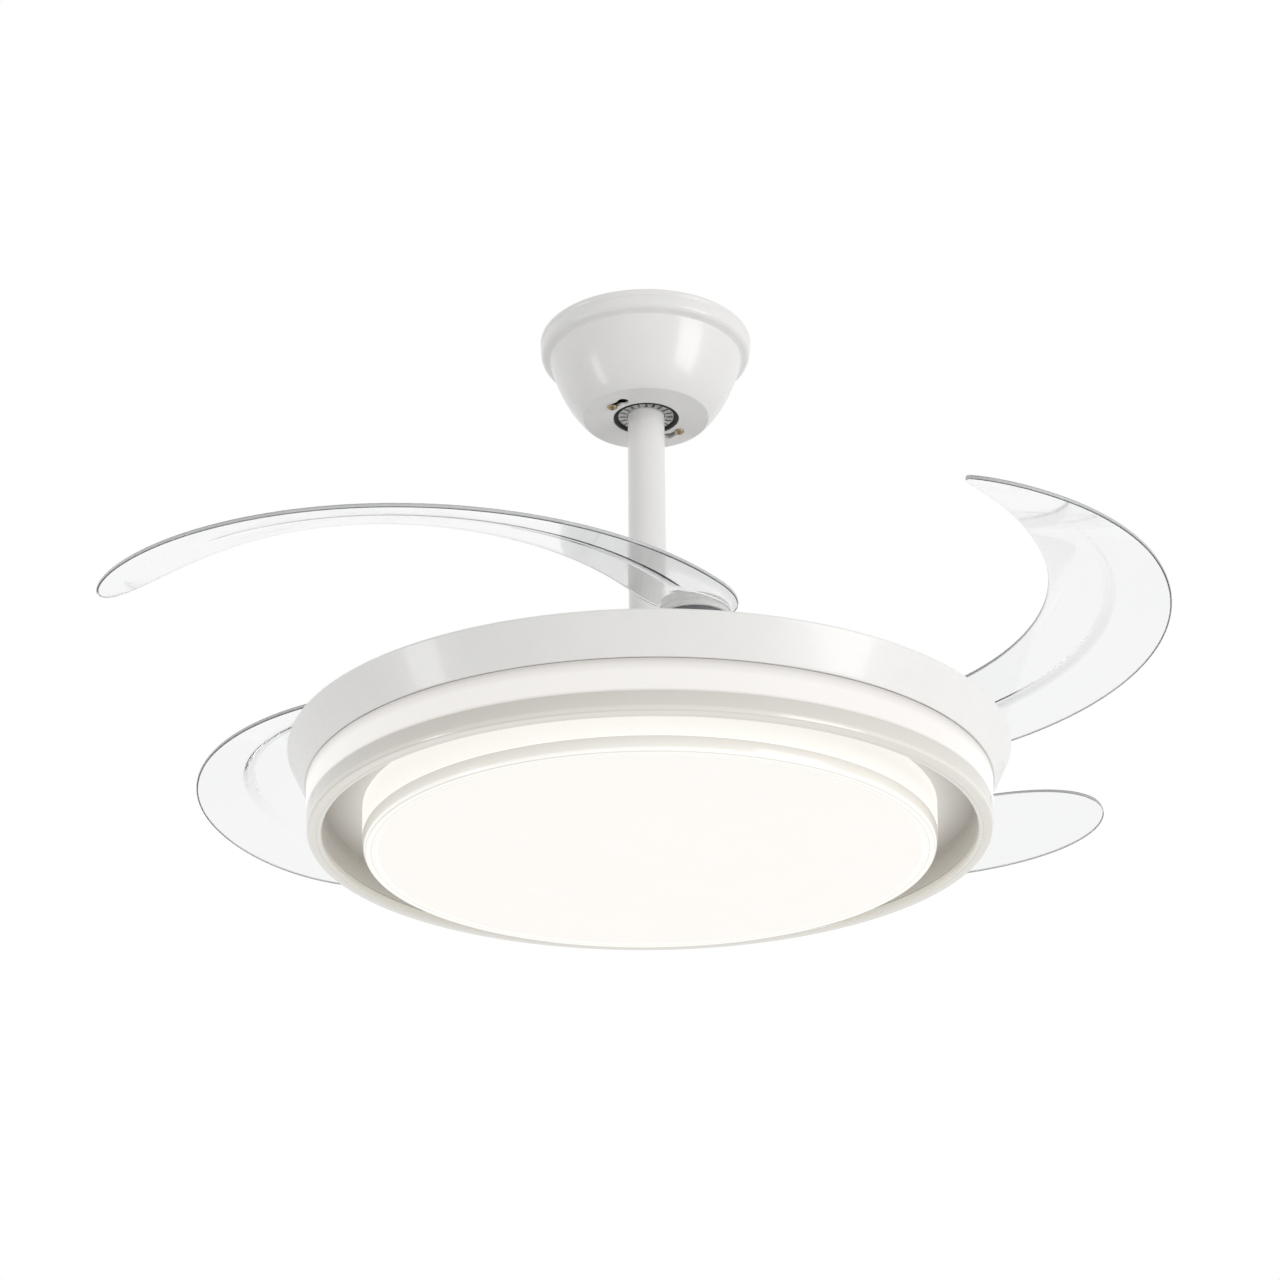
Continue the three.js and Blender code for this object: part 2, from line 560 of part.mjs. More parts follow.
// One unbroken bar of rectangular section along points in a level plane.
function ribbon(points, width, height) {
  const corners = [[-1, -1], [1, -1], [1, 1], [-1, 1]];
  const positions = [];
  points.forEach((point, i) => {
    const ahead = points[Math.min(i + 1, points.length - 1)];
    const behind = points[Math.max(i - 1, 0)];
    const along = new THREE.Vector3().subVectors(ahead, behind).normalize();
    const across = new THREE.Vector3(-along.y, along.x, 0);
    for (const [u, v] of corners) {
      const corner = point.clone().addScaledVector(across, u * width / 2);
      positions.push(corner.x, corner.y, corner.z + v * height / 2);
    }
  });
  const index = [];
  for (let i = 0; i + 1 < points.length; i += 1) {
    for (let k = 0; k < 4; k += 1) {
      const [a, b] = [4 * i + k, 4 * i + (k + 1) % 4];
      index.push(a, b, b + 4, a, b + 4, a + 4);
    }
  }
  const last = 4 * (points.length - 1);
  index.push(0, 2, 1, 0, 3, 2, last, last + 1, last + 2, last, last + 2, last + 3);
  const geometry = new THREE.BufferGeometry();
  geometry.setAttribute('position', new THREE.Float32BufferAttribute(positions, 3));
  geometry.setIndex(index);
  return solid(geometry);
}

// Spider plate under the motor with one arm for each blade.
function bladeCarrier() {
  let body = rod(CARRIER_DISC, CARRIER_BASE, CARRIER_TOP, 24);
  const w = CARRIER_ARM;
  const arm = outline([[CARRIER_DISC * 0.5, -w * 2], [PIVOT_CIRCLE, -w * 0.8],
    [PIVOT_CIRCLE, w * 0.8], [CARRIER_DISC * 0.5, w * 2]]);
  const window = outline([[CARRIER_DISC + 12, -w * 0.75], [PIVOT_CIRCLE - w - 8, -w * 0.42],
    [PIVOT_CIRCLE - w - 8, w * 0.42], [CARRIER_DISC + 12, w * 0.75]]);
  for (const angle of around(BLADE_COUNT, (turn) => turn)) {
    const end = rod(w * 0.8, CARRIER_BASE, CARRIER_TOP, 14).translate([PIVOT_CIRCLE, 0, 0]);
    body = body.add(turned(plate(arm, CARRIER_BASE, CARRIER_TOP).add(end), angle));
    body = body.subtract(turned(plate(window, CARRIER_BASE - 1, CARRIER_TOP + 1), angle));
    const bore = rod(roomy(PIVOT_RADIUS, SMALL), CARRIER_BASE - 1, CARRIER_TOP + 1);
    body = body.subtract(turned(bore.translate([PIVOT_CIRCLE, 0, 0]), angle));
    body = body.subtract(carrierScrewAt(angle, GAP));
  }
  return body.subtract(rod(BEARING_RADIUS + 2, CARRIER_BASE - 1, CARRIER_TOP + 1, 16));
}

const screwCircle = MOTOR_RADIUS * 0.72;

function carrierScrewAt(angle, extra) {
  const head = extra > 0 ? null : rod(5, CARRIER_BASE - GAP - 2, CARRIER_BASE - GAP, 10);
  const top = CARRIER_TOP + GAP + MOTOR_WALL + (extra > 0 ? 2 : -0.4);
  const shank = rod(2.5 + extra, CARRIER_BASE - GAP - extra, top, 8);
  const body = head ? head.add(shank) : shank;
  return turned(body.translate([screwCircle, 0, 0]), angle + Math.PI / BLADE_COUNT);
}

// Pivot-centred pieces: x points away from the fan's axis before the blade swings out.
function pivotPin() {
  const low = CARRIER_BASE - GAP;
  return rod(PIVOT_RADIUS + 3, low - 1.6, low).add(rod(PIVOT_RADIUS, low - 1, HUB_HIGH - 1));
}

function bladeGear() {
  const flangeBase = GEAR_BASE + GEAR_THICK + FLANGE_GAP;
  const flangeTop = HUB_LOW - GAP;
  const teeth = turned(plate(gearShape(PINION_TEETH), CARRIER_TOP + 0.4, flangeBase + 0.1), -OPEN_AT_REST);
  return teeth
    .add(rod(HUB_RADIUS - 1.6, flangeBase, flangeTop, 18))
    .add(rod(HOLDER_BOSS, flangeTop - 0.5, HUB_HIGH - BOSS_DEPTH, 10))
    .subtract(rod(roomy(PIVOT_RADIUS, SMALL), CARRIER_TOP, HUB_HIGH, SMALL));
}

function hubCap() {
  const low = HUB_HIGH + GAP;
  return revolve([[0, low], [HOLDER_BOSS + 2, low], [HOLDER_BOSS + 2, low + 1.2],
    [HOLDER_BOSS, low + 2.4], [0, low + 2.8]], 12);
}

// ---------------------------------------------------------------- blade
// The blade is laid out folded, in the fan's polar coordinates: `along` runs from -1 at
// the rounded tail to +1 at the tip, `across` from 0 at the inner edge to 1 at the outer.
function bladeSection(along) {
  const arc = -BLADE_TAIL + (BLADE_ARC + BLADE_TAIL) * (along + 1) / 2;
  const turn = Math.max(0, arc / BLADE_ARC);
  const near = Math.max(0, 1 - (arc + BLADE_TAIL) / (TAIL_ROUND * BLADE_TAIL));
  const far = Math.max(0, 1 - (BLADE_ARC - arc) / (TIP_SHARE * BLADE_ARC));
  const round = Math.sqrt(1 - near ** 2) * Math.sqrt(1 - far ** TIP_BLUNT);
  const half = Math.max(1, (BLADE_WIDTH + BLADE_FLARE * turn ** 2) / 2 * round);
  // The tail is centred on the pivot, the rest of the blade on its own middle line.
  const centre = PIVOT_CIRCLE + BLADE_OUTSET * (1 - near) + BLADE_SWEEP * turn ** 2
    + BLADE_HOOK * far ** 2;
  return { arc, centre, half };
}

function bladeHeight(arc, radius) {
  const turn = Math.max(0, arc / BLADE_ARC);
  const inward = 0.5 + (PIVOT_CIRCLE + BLADE_OUTSET - radius) / BLADE_WIDTH;
  return BLADE_LOW + BLADE_CLIMB * turn + (BLADE_PITCH + BLADE_TWIST * turn) * inward;
}

function bladeSheet() {
  const across = [0, 0.42, 0.47, 0.53, 0.58, 1]; // the rib stands on the middle strip
  const positions = [];
  const rows = [];
  for (let i = 0; i <= BLADE_STEPS; i += 1) {
    const along = -Math.cos(Math.PI * i / BLADE_STEPS); // finer at both ends
    const { arc, centre, half } = bladeSection(along);
    const ribbed = arc > RIB_START * BLADE_ARC && arc < RIB_REACH * BLADE_ARC;
    const row = across.map((u, k) => {
      const radius = centre + (2 * u - 1) * half;
      const z = bladeHeight(arc, radius);
      const edge = u === 0 || u === 1 ? BLADE_EDGE : 1;
      const rib = ribbed && (k === 2 || k === 3) ? RIB_HEIGHT : 0;
      const [x, y] = [radius * Math.cos(arc) - PIVOT_CIRCLE, -radius * Math.sin(arc)];
      return [x, y, z, BLADE_THICK / 2 * edge, rib];
    });
    rows.push(row);
  }
  const width = across.length;
  for (const side of [1, -1]) {
    for (const row of rows) {
      for (const [x, y, z, half, rib] of row) positions.push(x, y, z + side * half + (side > 0 ? rib : 0));
    }
  }
  const count = rows.length * width;
  const index = [];
  const quad = (a, b, c, d) => index.push(a, b, c, a, c, d);
  for (let i = 0; i + 1 < rows.length; i += 1) {
    for (let k = 0; k + 1 < width; k += 1) {
      const a = i * width + k;
      quad(a, a + 1, a + width + 1, a + width);
      quad(count + a, count + a + width, count + a + width + 1, count + a + 1);
    }
    const [first, last] = [i * width, i * width + width - 1];
    quad(first, first + width, count + first + width, count + first);
    quad(last, count + last, count + last + width, last + width);
  }
  for (let k = 0; k + 1 < width; k += 1) {
    const end = (rows.length - 1) * width + k;
    quad(k, count + k, count + k + 1, k + 1);
    quad(end, end + 1, count + end + 1, count + end);
  }
  const geometry = new THREE.BufferGeometry();
  geometry.setAttribute('position', new THREE.Float32BufferAttribute(positions, 3));
  geometry.setIndex(index);
  return solid(geometry);
}

function blade() {
  return bladeSheet()
    .add(rod(HUB_RADIUS, HUB_LOW, HUB_HIGH, 18))
    .subtract(rod(HUB_RADIUS + 8, HUB_LOW - 20, HUB_LOW, 8))
    .subtract(rod(HOLDER_BOSS + 3, HUB_HIGH, HUB_HIGH + 30, 10))
    .subtract(rod(HOLDER_BOSS + GAP, HUB_LOW - 1, HUB_HIGH - BOSS_DEPTH + GAP, 10))
    .subtract(rod(roomy(PIVOT_RADIUS, SMALL), HUB_LOW - 1, HUB_HIGH + 1, SMALL));
}

// ---------------------------------------------------------------- lamp
function drumShell() {
  const r = DRUM_RADIUS;
  const t = DRUM_WALL;
  const bead = [r * 0.62, r * 0.64, r * 0.66];
  return revolve([
    [r - 2, 0], [r - 0.3, -0.4], [r, -1.6], [DRUM_LOWER, -DRUM_HEIGHT],
    [DRUM_LOWER - t, -DRUM_HEIGHT], [r - t - 1.4, PLATE_BASE],
    [bead[2], PLATE_BASE], [bead[1], PLATE_BASE - 2], [bead[0], PLATE_BASE],
    [SHAFT_RADIUS + GAP, PLATE_BASE], [SHAFT_RADIUS + GAP, PLATE_TOP],
    [bead[0], PLATE_TOP], [bead[1], PLATE_TOP - 2], [bead[2], PLATE_TOP],
    [r - 5, PLATE_TOP], [r - 3.4, -0.6],
  ], FINE);
}

const chassisTop = BAND_TOP + SHEET + 0.2;
const chassisStep = DISC_TOP - 2; // level of the deeper middle of the chassis
const chassisWell = DISC_OUTER - BAND_WALL - 0.6 - GAP; // the inner band is pushed over it

// Stepped pan that carries the lamp, on four posts under the drum's top plate.
function lampChassis() {
  const edge = DRUM_LOWER - DRUM_WALL - 1.2;
  const low = chassisTop - SHEET;
  let body = revolve([
    [0, chassisStep], [chassisWell - SHEET, chassisStep], [chassisWell - SHEET, chassisTop],
    [edge, chassisTop], [edge, low], [chassisWell, low], [chassisWell, chassisStep - SHEET],
    [0, chassisStep - SHEET],
  ], FINE);
  for (const post of around(4, (angle) => turned(rod(6, chassisTop - 0.4, PLATE_BASE - GAP, 8)
    .translate([(chassisWell + edge) / 2, 0, 0]), angle))) {
    body = body.add(post);
  }
  return body;
}

function outerBand() {
  return revolve([[BAND_OUTER - BAND_WALL, BAND_TOP], [BAND_OUTER, BAND_TOP],
    [BAND_OUTER - 1.2, BAND_BASE + GAP], [BAND_OUTER - BAND_WALL - 1.2, BAND_BASE + GAP]], FINE);
}

function outerRing() {
  const shoulder = BAND_OUTER - 1.2;
  const flange = RING_BASE + 4.5;
  return revolve([
    [shoulder - BAND_WALL, BAND_BASE], [shoulder, BAND_BASE], [RING_OUTER + 0.2, RING_BASE + 1.2],
    [RING_OUTER - 1.2, RING_BASE], [RING_INNER + 1, RING_BASE], [RING_INNER, RING_BASE + 1],
    [RING_INNER, flange], [shoulder - BAND_WALL, flange],
  ], FINE);
}

// Grey channel between the outer ring and the inner disc, open downwards.
function trough() {
  const outer = RING_INNER + SHEET;
  const inner = chassisWell + GAP;
  const low = RING_BASE + 4.5 + GAP;
  const top = chassisTop - SHEET - GAP;
  return revolve([
    [RING_INNER, low], [outer, low], [outer, top], [outer - SHEET, top],
    [outer - SHEET, TROUGH_ROOF + SHEET], [inner, TROUGH_ROOF + SHEET], [inner, TROUGH_ROOF],
    [RING_INNER, TROUGH_ROOF],
  ], FINE);
}

function innerBand() {
  const r = DISC_OUTER;
  return revolve([[r - BAND_WALL, DISC_TOP], [r, DISC_TOP], [r - 0.6, RIM_TOP + GAP],
    [r - BAND_WALL - 0.6, RIM_TOP + GAP]], FINE);
}

function innerRim() {
  const r = DISC_OUTER - 0.6;
  const shelf = DISC_BASE + 3.6;
  return revolve([
    [r - BAND_WALL, RIM_TOP], [r, RIM_TOP], [r - 1.2, DISC_BASE + 1.2], [r - 2.4, DISC_BASE],
    [r - DISC_FLANGE, DISC_BASE], [r - DISC_FLANGE, shelf], [r - BAND_WALL, shelf],
  ], FINE);
}

function mainDiffuser() {
  const edge = DISC_OUTER - 0.6 - BAND_WALL - GAP;
  const face = DISC_OUTER - 0.6 - DISC_FLANGE - GAP;
  const shelf = DISC_BASE + 3.6 + GAP;
  return revolve([[0, DISC_BASE + 0.2], [face - 1.4, DISC_BASE + 0.2], [face, DISC_BASE + 1.4],
    [face, shelf], [edge, shelf], [edge, shelf + 2.6], [0, shelf + 2.6]], FINE);
}

const innerBoard = () => rod(chassisWell - 6, chassisStep - SHEET - GAP - BOARD,
  chassisStep - SHEET - GAP, FINE);

function outerBoard() {
  const high = chassisTop - SHEET - GAP;
  return tube(RING_INNER + SHEET + GAP, BAND_OUTER - BAND_WALL - 1.2 - GAP, high - BOARD, high, FINE);
}

// A moulded case with chamfered upper edges, standing in the chassis.
function driverCase(length, width, height, x, y) {
  const base = chassisStep + GAP;
  const lid = height - 3;
  const body = block(length, width, lid, [x, y, base + lid / 2]);
  return body.add(block(length - 6, width - 6, height, [x, y, base + height / 2]));
}

// ---------------------------------------------------------------- assembly
const fan = new THREE.Group();

add(fan, 'hanger_bracket', hangerBracket(), zincSteel);
add(fan, 'canopy', canopy(), whitePaint);
add(fan, 'canopy_screw_1', canopyScrew(BRACKET_TURN), brass);
add(fan, 'canopy_screw_2', canopyScrew(BRACKET_TURN + Math.PI), brass);
add(fan, 'ball_gasket', ballGasket(), blackRubber);

const hanging = new THREE.Group(); // everything below the ball
hanging.position.z = -DROP;
fan.add(hanging);
add(hanging, 'hanger_ball', hangerBall(), greyPaint);
add(hanging, 'ball_pin', crossRod(PIN_RADIUS, 2 * ROD_RADIUS + 14, ballPinHeight), steel);
add(hanging, 'downrod', downrod(), whitePaint);
add(hanging, 'rod_coupling', rodCoupling(), zincSteel);
add(hanging, 'coupling_pin', crossRod(PIN_RADIUS, 2 * COUPLING_RADIUS + 4, couplingPinHeight), steel);
add(hanging, 'coupling_set_screw', setScrew(), steel);
add(hanging, 'motor_shaft', motorShaft(), steel);
add(hanging, 'shaft_nut', shaftNut(), zincSteel);
add(hanging, 'motor_stator', motorStator(), copper);
add(hanging, 'lower_bearing', bearing(lowerBearing), steel);
add(hanging, 'upper_bearing', bearing(upperBearing), steel);
add(hanging, 'drum_shell', drumShell(), whitePaint);
add(hanging, 'lamp_chassis', lampChassis(), whitePaint);
add(hanging, 'outer_band', outerBand(), opalPlastic);
add(hanging, 'outer_ring', outerRing(), clearPlastic);
add(hanging, 'trough', trough(), greyPaint);
add(hanging, 'inner_band', innerBand(), opalPlastic);
add(hanging, 'inner_rim', innerRim(), clearPlastic);
add(hanging, 'main_diffuser', mainDiffuser(), opalPlastic);
add(hanging, 'led_board_inner', innerBoard(), boardWhite);
add(hanging, 'led_board_outer', outerBoard(), boardWhite);
add(hanging, 'led_driver', driverCase(120, 52, 22, 0, 80), whiteNylon);
add(hanging, 'receiver_box', driverCase(90, 44, 18, 0, -80), whiteNylon);

const rotor = new THREE.Group(); // spins about the shaft
rotor.rotation.z = BLADE_PHASE;
hanging.add(rotor);
add(rotor, 'motor_lower_shell', motorLowerShell(), aluminium);
add(rotor, 'motor_upper_shell', motorUpperShell(), aluminium);
add(rotor, 'blade_carrier', bladeCarrier(), zincSteel);
add(rotor, 'sync_gear', syncGear(), darkNylon);
add(rotor, 'return_spring', returnSpring(), steel);

// Blade 1 is the one over the near side; the count runs anticlockwise seen from above.
for (const [turn, i] of around(BLADE_COUNT, (angle, k) => [angle - Math.PI / 2, k])) {
  const arm = new THREE.Group();
  arm.rotation.z = turn;
  rotor.add(arm);
  const pivot = new THREE.Group();
  pivot.position.x = PIVOT_CIRCLE;
  pivot.rotation.z = OPEN_AT_REST;
  arm.add(pivot);
  add(pivot, `blade_${i + 1}`, blade(), clearPlastic);
  add(pivot, `blade_gear_${i + 1}`, bladeGear(), darkNylon);
  add(pivot, `hub_cap_${i + 1}`, hubCap(), whiteNylon);
  add(pivot, `pivot_pin_${i + 1}`, pivotPin(), steel);
  add(rotor, `carrier_screw_${i + 1}`, carrierScrewAt(turn, 0), zincSteel);
}

export default fan;
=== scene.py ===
"""Looks of a ceiling fan whose clear blades fold over a round lamp.

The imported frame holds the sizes, the joints and the hidden mechanism. This script puts smooth
shells, clear blades and finishes on it, lights it plainly and sets the camera.
"""

import json
import logging
import math
from dataclasses import dataclass, field
from enum import Enum
from typing import Iterable, Sequence

import bmesh
import bpy
import numpy as np
from mathutils import Matrix, Vector


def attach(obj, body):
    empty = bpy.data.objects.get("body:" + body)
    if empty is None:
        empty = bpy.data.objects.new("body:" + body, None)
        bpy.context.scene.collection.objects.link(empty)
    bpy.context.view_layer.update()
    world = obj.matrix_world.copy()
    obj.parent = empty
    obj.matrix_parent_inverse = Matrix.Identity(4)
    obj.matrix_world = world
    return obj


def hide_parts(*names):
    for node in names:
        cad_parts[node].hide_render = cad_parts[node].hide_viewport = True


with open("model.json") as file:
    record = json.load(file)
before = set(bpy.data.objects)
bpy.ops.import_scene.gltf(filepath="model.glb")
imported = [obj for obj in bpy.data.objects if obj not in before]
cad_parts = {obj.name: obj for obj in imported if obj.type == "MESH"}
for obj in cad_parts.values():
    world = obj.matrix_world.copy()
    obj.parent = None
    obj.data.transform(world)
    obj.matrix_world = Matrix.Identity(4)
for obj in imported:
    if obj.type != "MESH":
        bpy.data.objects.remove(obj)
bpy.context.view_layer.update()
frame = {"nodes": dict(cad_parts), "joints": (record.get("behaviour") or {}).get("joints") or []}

LOG = logging.getLogger("fan")
MM = 0.001
GAP = 0.3  # clearance between pieces that touch, in millimetres
DROP = 334.0  # ceiling to the drum's top edge; heights below are measured from that edge
QUARTER = math.pi / 2
BLADES = 4
SAME_POINT = 1e-7  # metres within which two points of a mesh are one
SLIVER = 1e-8  # metres under which an edge is dropped
NOISE_LOW, NOISE_HIGH = 0.3, 0.7  # nearly all of a noise lies between these
CLOUD_CELLS = 14  # cells of the grain across one cloud of the slow mottling
BUMP_STRENGTH = 0.6
COAT_ROUGHNESS = 0.08

Point = tuple[float, float]
TonePoint = tuple[float, ...]  # radius, height and, where it has one, a tone from 0 to 1
Profile = tuple[TonePoint, ...]
Colour = tuple[float, float, float, float]
Tool = tuple[str, bmesh.types.BMesh]  # UNION or DIFFERENCE, and the closed mesh that does it


# ------------------------------------------------------------------------------ finishes
class Pattern(Enum):
    """How a surface was made, which sets the run of its grain."""

    SPRAYED = "fine round cells of sprayed paint"
    MOULDED = "soft waves left by a mould"
    DRAWN = "long lines of rolled or drawn metal"
    TURNED = "rings round the part's axis"
    CAST = "coarse grain of a blasted casting"


def linear(code: str) -> Colour:
    """Turns an sRGB hex colour into linear RGBA.

    Args:
        code: six hex digits.

    Returns:
        Red, green, blue and an alpha of one.
    """
    parts = [int(code[i:i + 2], 16) / 255 for i in (0, 2, 4)]
    low, scale, shift, power = 0.04045, 12.92, 0.055, 2.4
    light = [c / scale if c <= low else ((c + shift) / (1 + shift)) ** power for c in parts]
    return (*light, 1.0)


def feed(tree: bpy.types.NodeTree, socket: bpy.types.NodeSocket, value: object) -> None:
    """Links a socket to an output, or sets its value.

    Args:
        tree: node tree of the socket.
        socket: input that is fed.
        value: an output socket, or a plain value.
    """
    if isinstance(value, bpy.types.NodeSocket):
        tree.links.new(value, socket)
    else:
        socket.default_value = value


def add_node(tree: bpy.types.NodeTree, kind: str, settings: dict | None = None,
             inputs: dict | None = None) -> bpy.types.Node:
    """Adds one node with its settings, socket values and links.

    Args:
        tree: node tree that receives it.
        kind: Blender's node type.
        settings: attributes of the node.
        inputs: socket name or number to a value, or to the output socket that feeds it.

    Returns:
        The new node.
    """
    node = tree.nodes.new(kind)
    for name, value in (settings or {}).items():
        setattr(node, name, value)
    for name, value in (inputs or {}).items():
        feed(tree, node.inputs[name], value)
    return node


@dataclass(frozen=True)
class Finish:
    """A material: what it is, how it was made and what the eye gets from it."""

    name: str
    base: str  # colour of most of the surface
    shade: str  # colour that mottles it
    roughness: float
    pattern: Pattern
    grain: float  # millimetres across one cell of the pattern
    relief: float  # millimetres that the pattern stands up
    spread: float = 0.06  # roughness varies by this much over the pattern
    metallic: float = 0.0
    ior: float = 1.5
    coat: float = 0.0
    transmission: float = 0.0
    glow: float = 0.0  # strength of the light that comes through
    # Where a mesh's "tone" is one the finish paints shade: a darker surface colour, a dimmer glow and
    # less light through.
    lit: str = ""  # colour of that light where the mesh's "tone" is zero
    dim: str = "55534f"  # the same where the tone is one
    cloud: float = 0.0  # how much less light passes where the tone is one
    edge: str = ""  # surface colour where the tone is one

    def grain_vector(self, tree: bpy.types.NodeTree) -> bpy.types.NodeSocket:
        """Gives the coordinates that set how the grain runs.

        Args:
            tree: node tree of the material.

        Returns:
            The output that feeds the noises.
        """
        place = add_node(tree, "ShaderNodeTexCoord").outputs["Object"]
        if self.pattern is Pattern.TURNED:
            split = add_node(tree, "ShaderNodeSeparateXYZ", inputs={0: place}).outputs
            flat = add_node(tree, "ShaderNodeCombineXYZ", inputs={"X": split["X"], "Y": split["Y"]})
            reach = add_node(tree, "ShaderNodeVectorMath", {"operation": "LENGTH"},
                             {0: flat.outputs["Vector"]})
            rings = add_node(tree, "ShaderNodeCombineXYZ",
                             inputs={"X": reach.outputs["Value"], "Z": split["Z"]})
            return rings.outputs["Vector"]
        stretch = (1.0, 0.04, 1.0) if self.pattern is Pattern.DRAWN else (1.0, 1.0, 1.0)
        scaled = add_node(tree, "ShaderNodeMapping", inputs={"Vector": place, "Scale": stretch})
        return scaled.outputs["Vector"]

    def build(self) -> bpy.types.Material:
        """Makes the material, or gives the one that was made before.

        Returns:
            The material.
        """
        made = bpy.data.materials.get(self.name)
        if made:
            return made
        made = bpy.data.materials.new(self.name)
        made.use_nodes = True
        tree = made.node_tree
        vector = self.grain_vector(tree)
        cell = 1 / (self.grain * MM)
        grain = self.noise(tree, vector, cell, 4.0 if self.pattern is Pattern.CAST else 2.0)
        share = self.level(tree, self.noise(tree, vector, cell / CLOUD_CELLS, 2.0), 0.0, 1.0)
        smoothest = max(0.01, self.roughness - self.spread)
        sockets = {
            "Base Color": self.mix(tree, share, linear(self.base), linear(self.shade)),
            "Roughness": self.level(tree, grain, smoothest, self.roughness + self.spread),
            "Normal": add_node(tree, "ShaderNodeBump", inputs={
                "Height": grain, "Strength": BUMP_STRENGTH,
                "Distance": self.relief * MM}).outputs["Normal"],
            "Metallic": self.metallic, "IOR": self.ior, "Coat Weight": self.coat,
            "Coat Roughness": COAT_ROUGHNESS, "Transmission Weight": self.transmission,
            "Emission Strength": self.glow}
        if self.glow:
            sockets["Emission Color"] = linear(self.lit)
        # The tone paints shade on the surface colour, the glow and the light that passes.
        if self.edge:
            tone = add_node(tree, "ShaderNodeAttribute", {"attribute_name": "tone"}).outputs["Fac"]
            sockets["Base Color"] = self.mix(tree, tone, sockets["Base Color"], linear(self.edge))
            if self.glow:
                sockets["Emission Color"] = self.mix(tree, tone, linear(self.lit), linear(self.dim))
            if self.cloud:
                sockets["Transmission Weight"] = add_node(
                    tree, "ShaderNodeMath", {"operation": "MULTIPLY_ADD"},
                    {0: tone, 1: -self.cloud, 2: self.transmission}).outputs[0]
        for name, value in sockets.items():
            feed(tree, tree.nodes["Principled BSDF"].inputs[name], value)
        return made

    @staticmethod
    def noise(tree: bpy.types.NodeTree, vector: bpy.types.NodeSocket, scale: float,
              detail: float) -> bpy.types.NodeSocket:
        """Gives a noise with so many cells in a metre."""
        return add_node(tree, "ShaderNodeTexNoise", inputs={
            "Vector": vector, "Scale": scale, "Detail": detail}).outputs["Fac"]

    @staticmethod
    def level(tree: bpy.types.NodeTree, value: bpy.types.NodeSocket, low: float,
              high: float) -> bpy.types.NodeSocket:
        """Spreads a noise over a range."""
        return add_node(tree, "ShaderNodeMapRange", inputs={
            "Value": value, "From Min": NOISE_LOW, "From Max": NOISE_HIGH, "To Min": low,
            "To Max": high}).outputs["Result"]

    @staticmethod
    def mix(tree: bpy.types.NodeTree, share: bpy.types.NodeSocket, first: object,
            second: object) -> bpy.types.NodeSocket:
        """Mixes two colours, each a value or an output, by a share."""
        return add_node(tree, "ShaderNodeMix", {"data_type": "RGBA"},
                        {0: share, 6: first, 7: second}).outputs[2]


# A grain under about 0.4 mm wouldn't show, so those of castings, lathe work, rolled metal, nylon,
# rubber and cloth are drawn coarser than the real ones.
#
# Enamel sprayed on steel: an even gloss with a faint orange peel, whose 1.2 mm cells only
# just soften the highlights.
WHITE_ENAMEL = Finish("white_enamel_sprayed", "f1f0ee", "efeeec", 0.3, Pattern.SPRAYED, 1.2, 0.0012,
                      spread=0.03, coat=0.3)
# Enamel again, less glossy and without a coat: a grey channel. Its roof pales to near white
# beside the inner lit band, which is painted light from that band, drawn by the tone.
GREY_ENAMEL_BAND_LIGHT = Finish("grey_enamel_sprayed_painted_light", "f0eeea", "edebe7", 0.36, Pattern.SPRAYED, 1.2, 0.0015,
                     spread=0.03, edge="c4c0b9")
# Zinc casting under metallic paint: the ball's ribs catch light on a slightly grainy grey.
GREY_CASTING = Finish("grey_painted_zinc_cast", "c4c4c2", "9a9a99", 0.34, Pattern.CAST, 0.6, 0.02,
                      metallic=0.5)
# Polycarbonate, injection moulded and polished: clear with broad, hardly seen waves. Its rim,
# its two ends and a faint line along its rib are painted grey and pass less light: painted shade
# for the dark lines that refraction draws in a clear sheet. An IOR below the plastic's own keeps
# the rim from going black.
CLEAR_BLADE = Finish("clear_polycarbonate_moulded", "f7f7f7", "f4f5f5", 0.04, Pattern.MOULDED, 22.0,
                     0.008, spread=0.02, ior=1.3, transmission=1.0, edge="d2d4d5",
                     cloud=0.85)
# The same plastic left satin at the hubs: milky white under a wet gloss.
SATIN_HUB = Finish("satin_polycarbonate_moulded", "f8f8f6", "f2f2f0", 0.2, Pattern.MOULDED, 9.0, 0.01,
                   spread=0.04, ior=1.45, transmission=0.2, coat=0.5)
# Acrylic ring with a satin inside: milky and white on the foot. Its side and fine lines at the
# foot's edges are painted grey, as painted shade for what shows through its depth and at its
# edges. Stray lamp light fills it a little.
CLEAR_RING = Finish("satin_acrylic_moulded", "e6e3dc", "e3e0d8", 0.16, Pattern.MOULDED, 9.0, 0.006,
                    spread=0.03, ior=1.49, glow=0.13, lit="fffbf0", coat=0.5, edge="cdc9c2")
# The same acrylic round the main plate, which sends more light into it: a bright rim whose
# side and two fine lines are painted grey, their glow dimmed, as painted shade.
CLEAR_RIM = Finish("satin_acrylic_moulded_rim", "e4e2dd", "e1dfd9", 0.16, Pattern.MOULDED, 9.0, 0.006,
                   spread=0.03, ior=1.49, glow=0.44, lit="fffdf8", dim="a09c95", coat=0.5,
                   edge="a09c95")
# Opal acrylic over the lamps: an even warm white with a soft gloss. It passes much of the
# light, so its own colour is darker than it looks when it is lit.
OPAL_SHEET = Finish("opal_acrylic_moulded", "cbc9c6", "c9c7c4", 0.3, Pattern.MOULDED, 30.0, 0.006,
                    spread=0.03, ior=1.49, glow=0.495, lit="fffaf6")
# The band under the drum: brighter at its foot, with a grey line where the drum shades it.
OPAL_OUTER = Finish("opal_acrylic_extruded_outer", "9a9896", "989694", 0.32, Pattern.MOULDED, 30.0,
                    0.006, spread=0.03, ior=1.49, glow=0.61, lit="fefbf7", dim="a8a4a1",
                    edge="8f8b88")
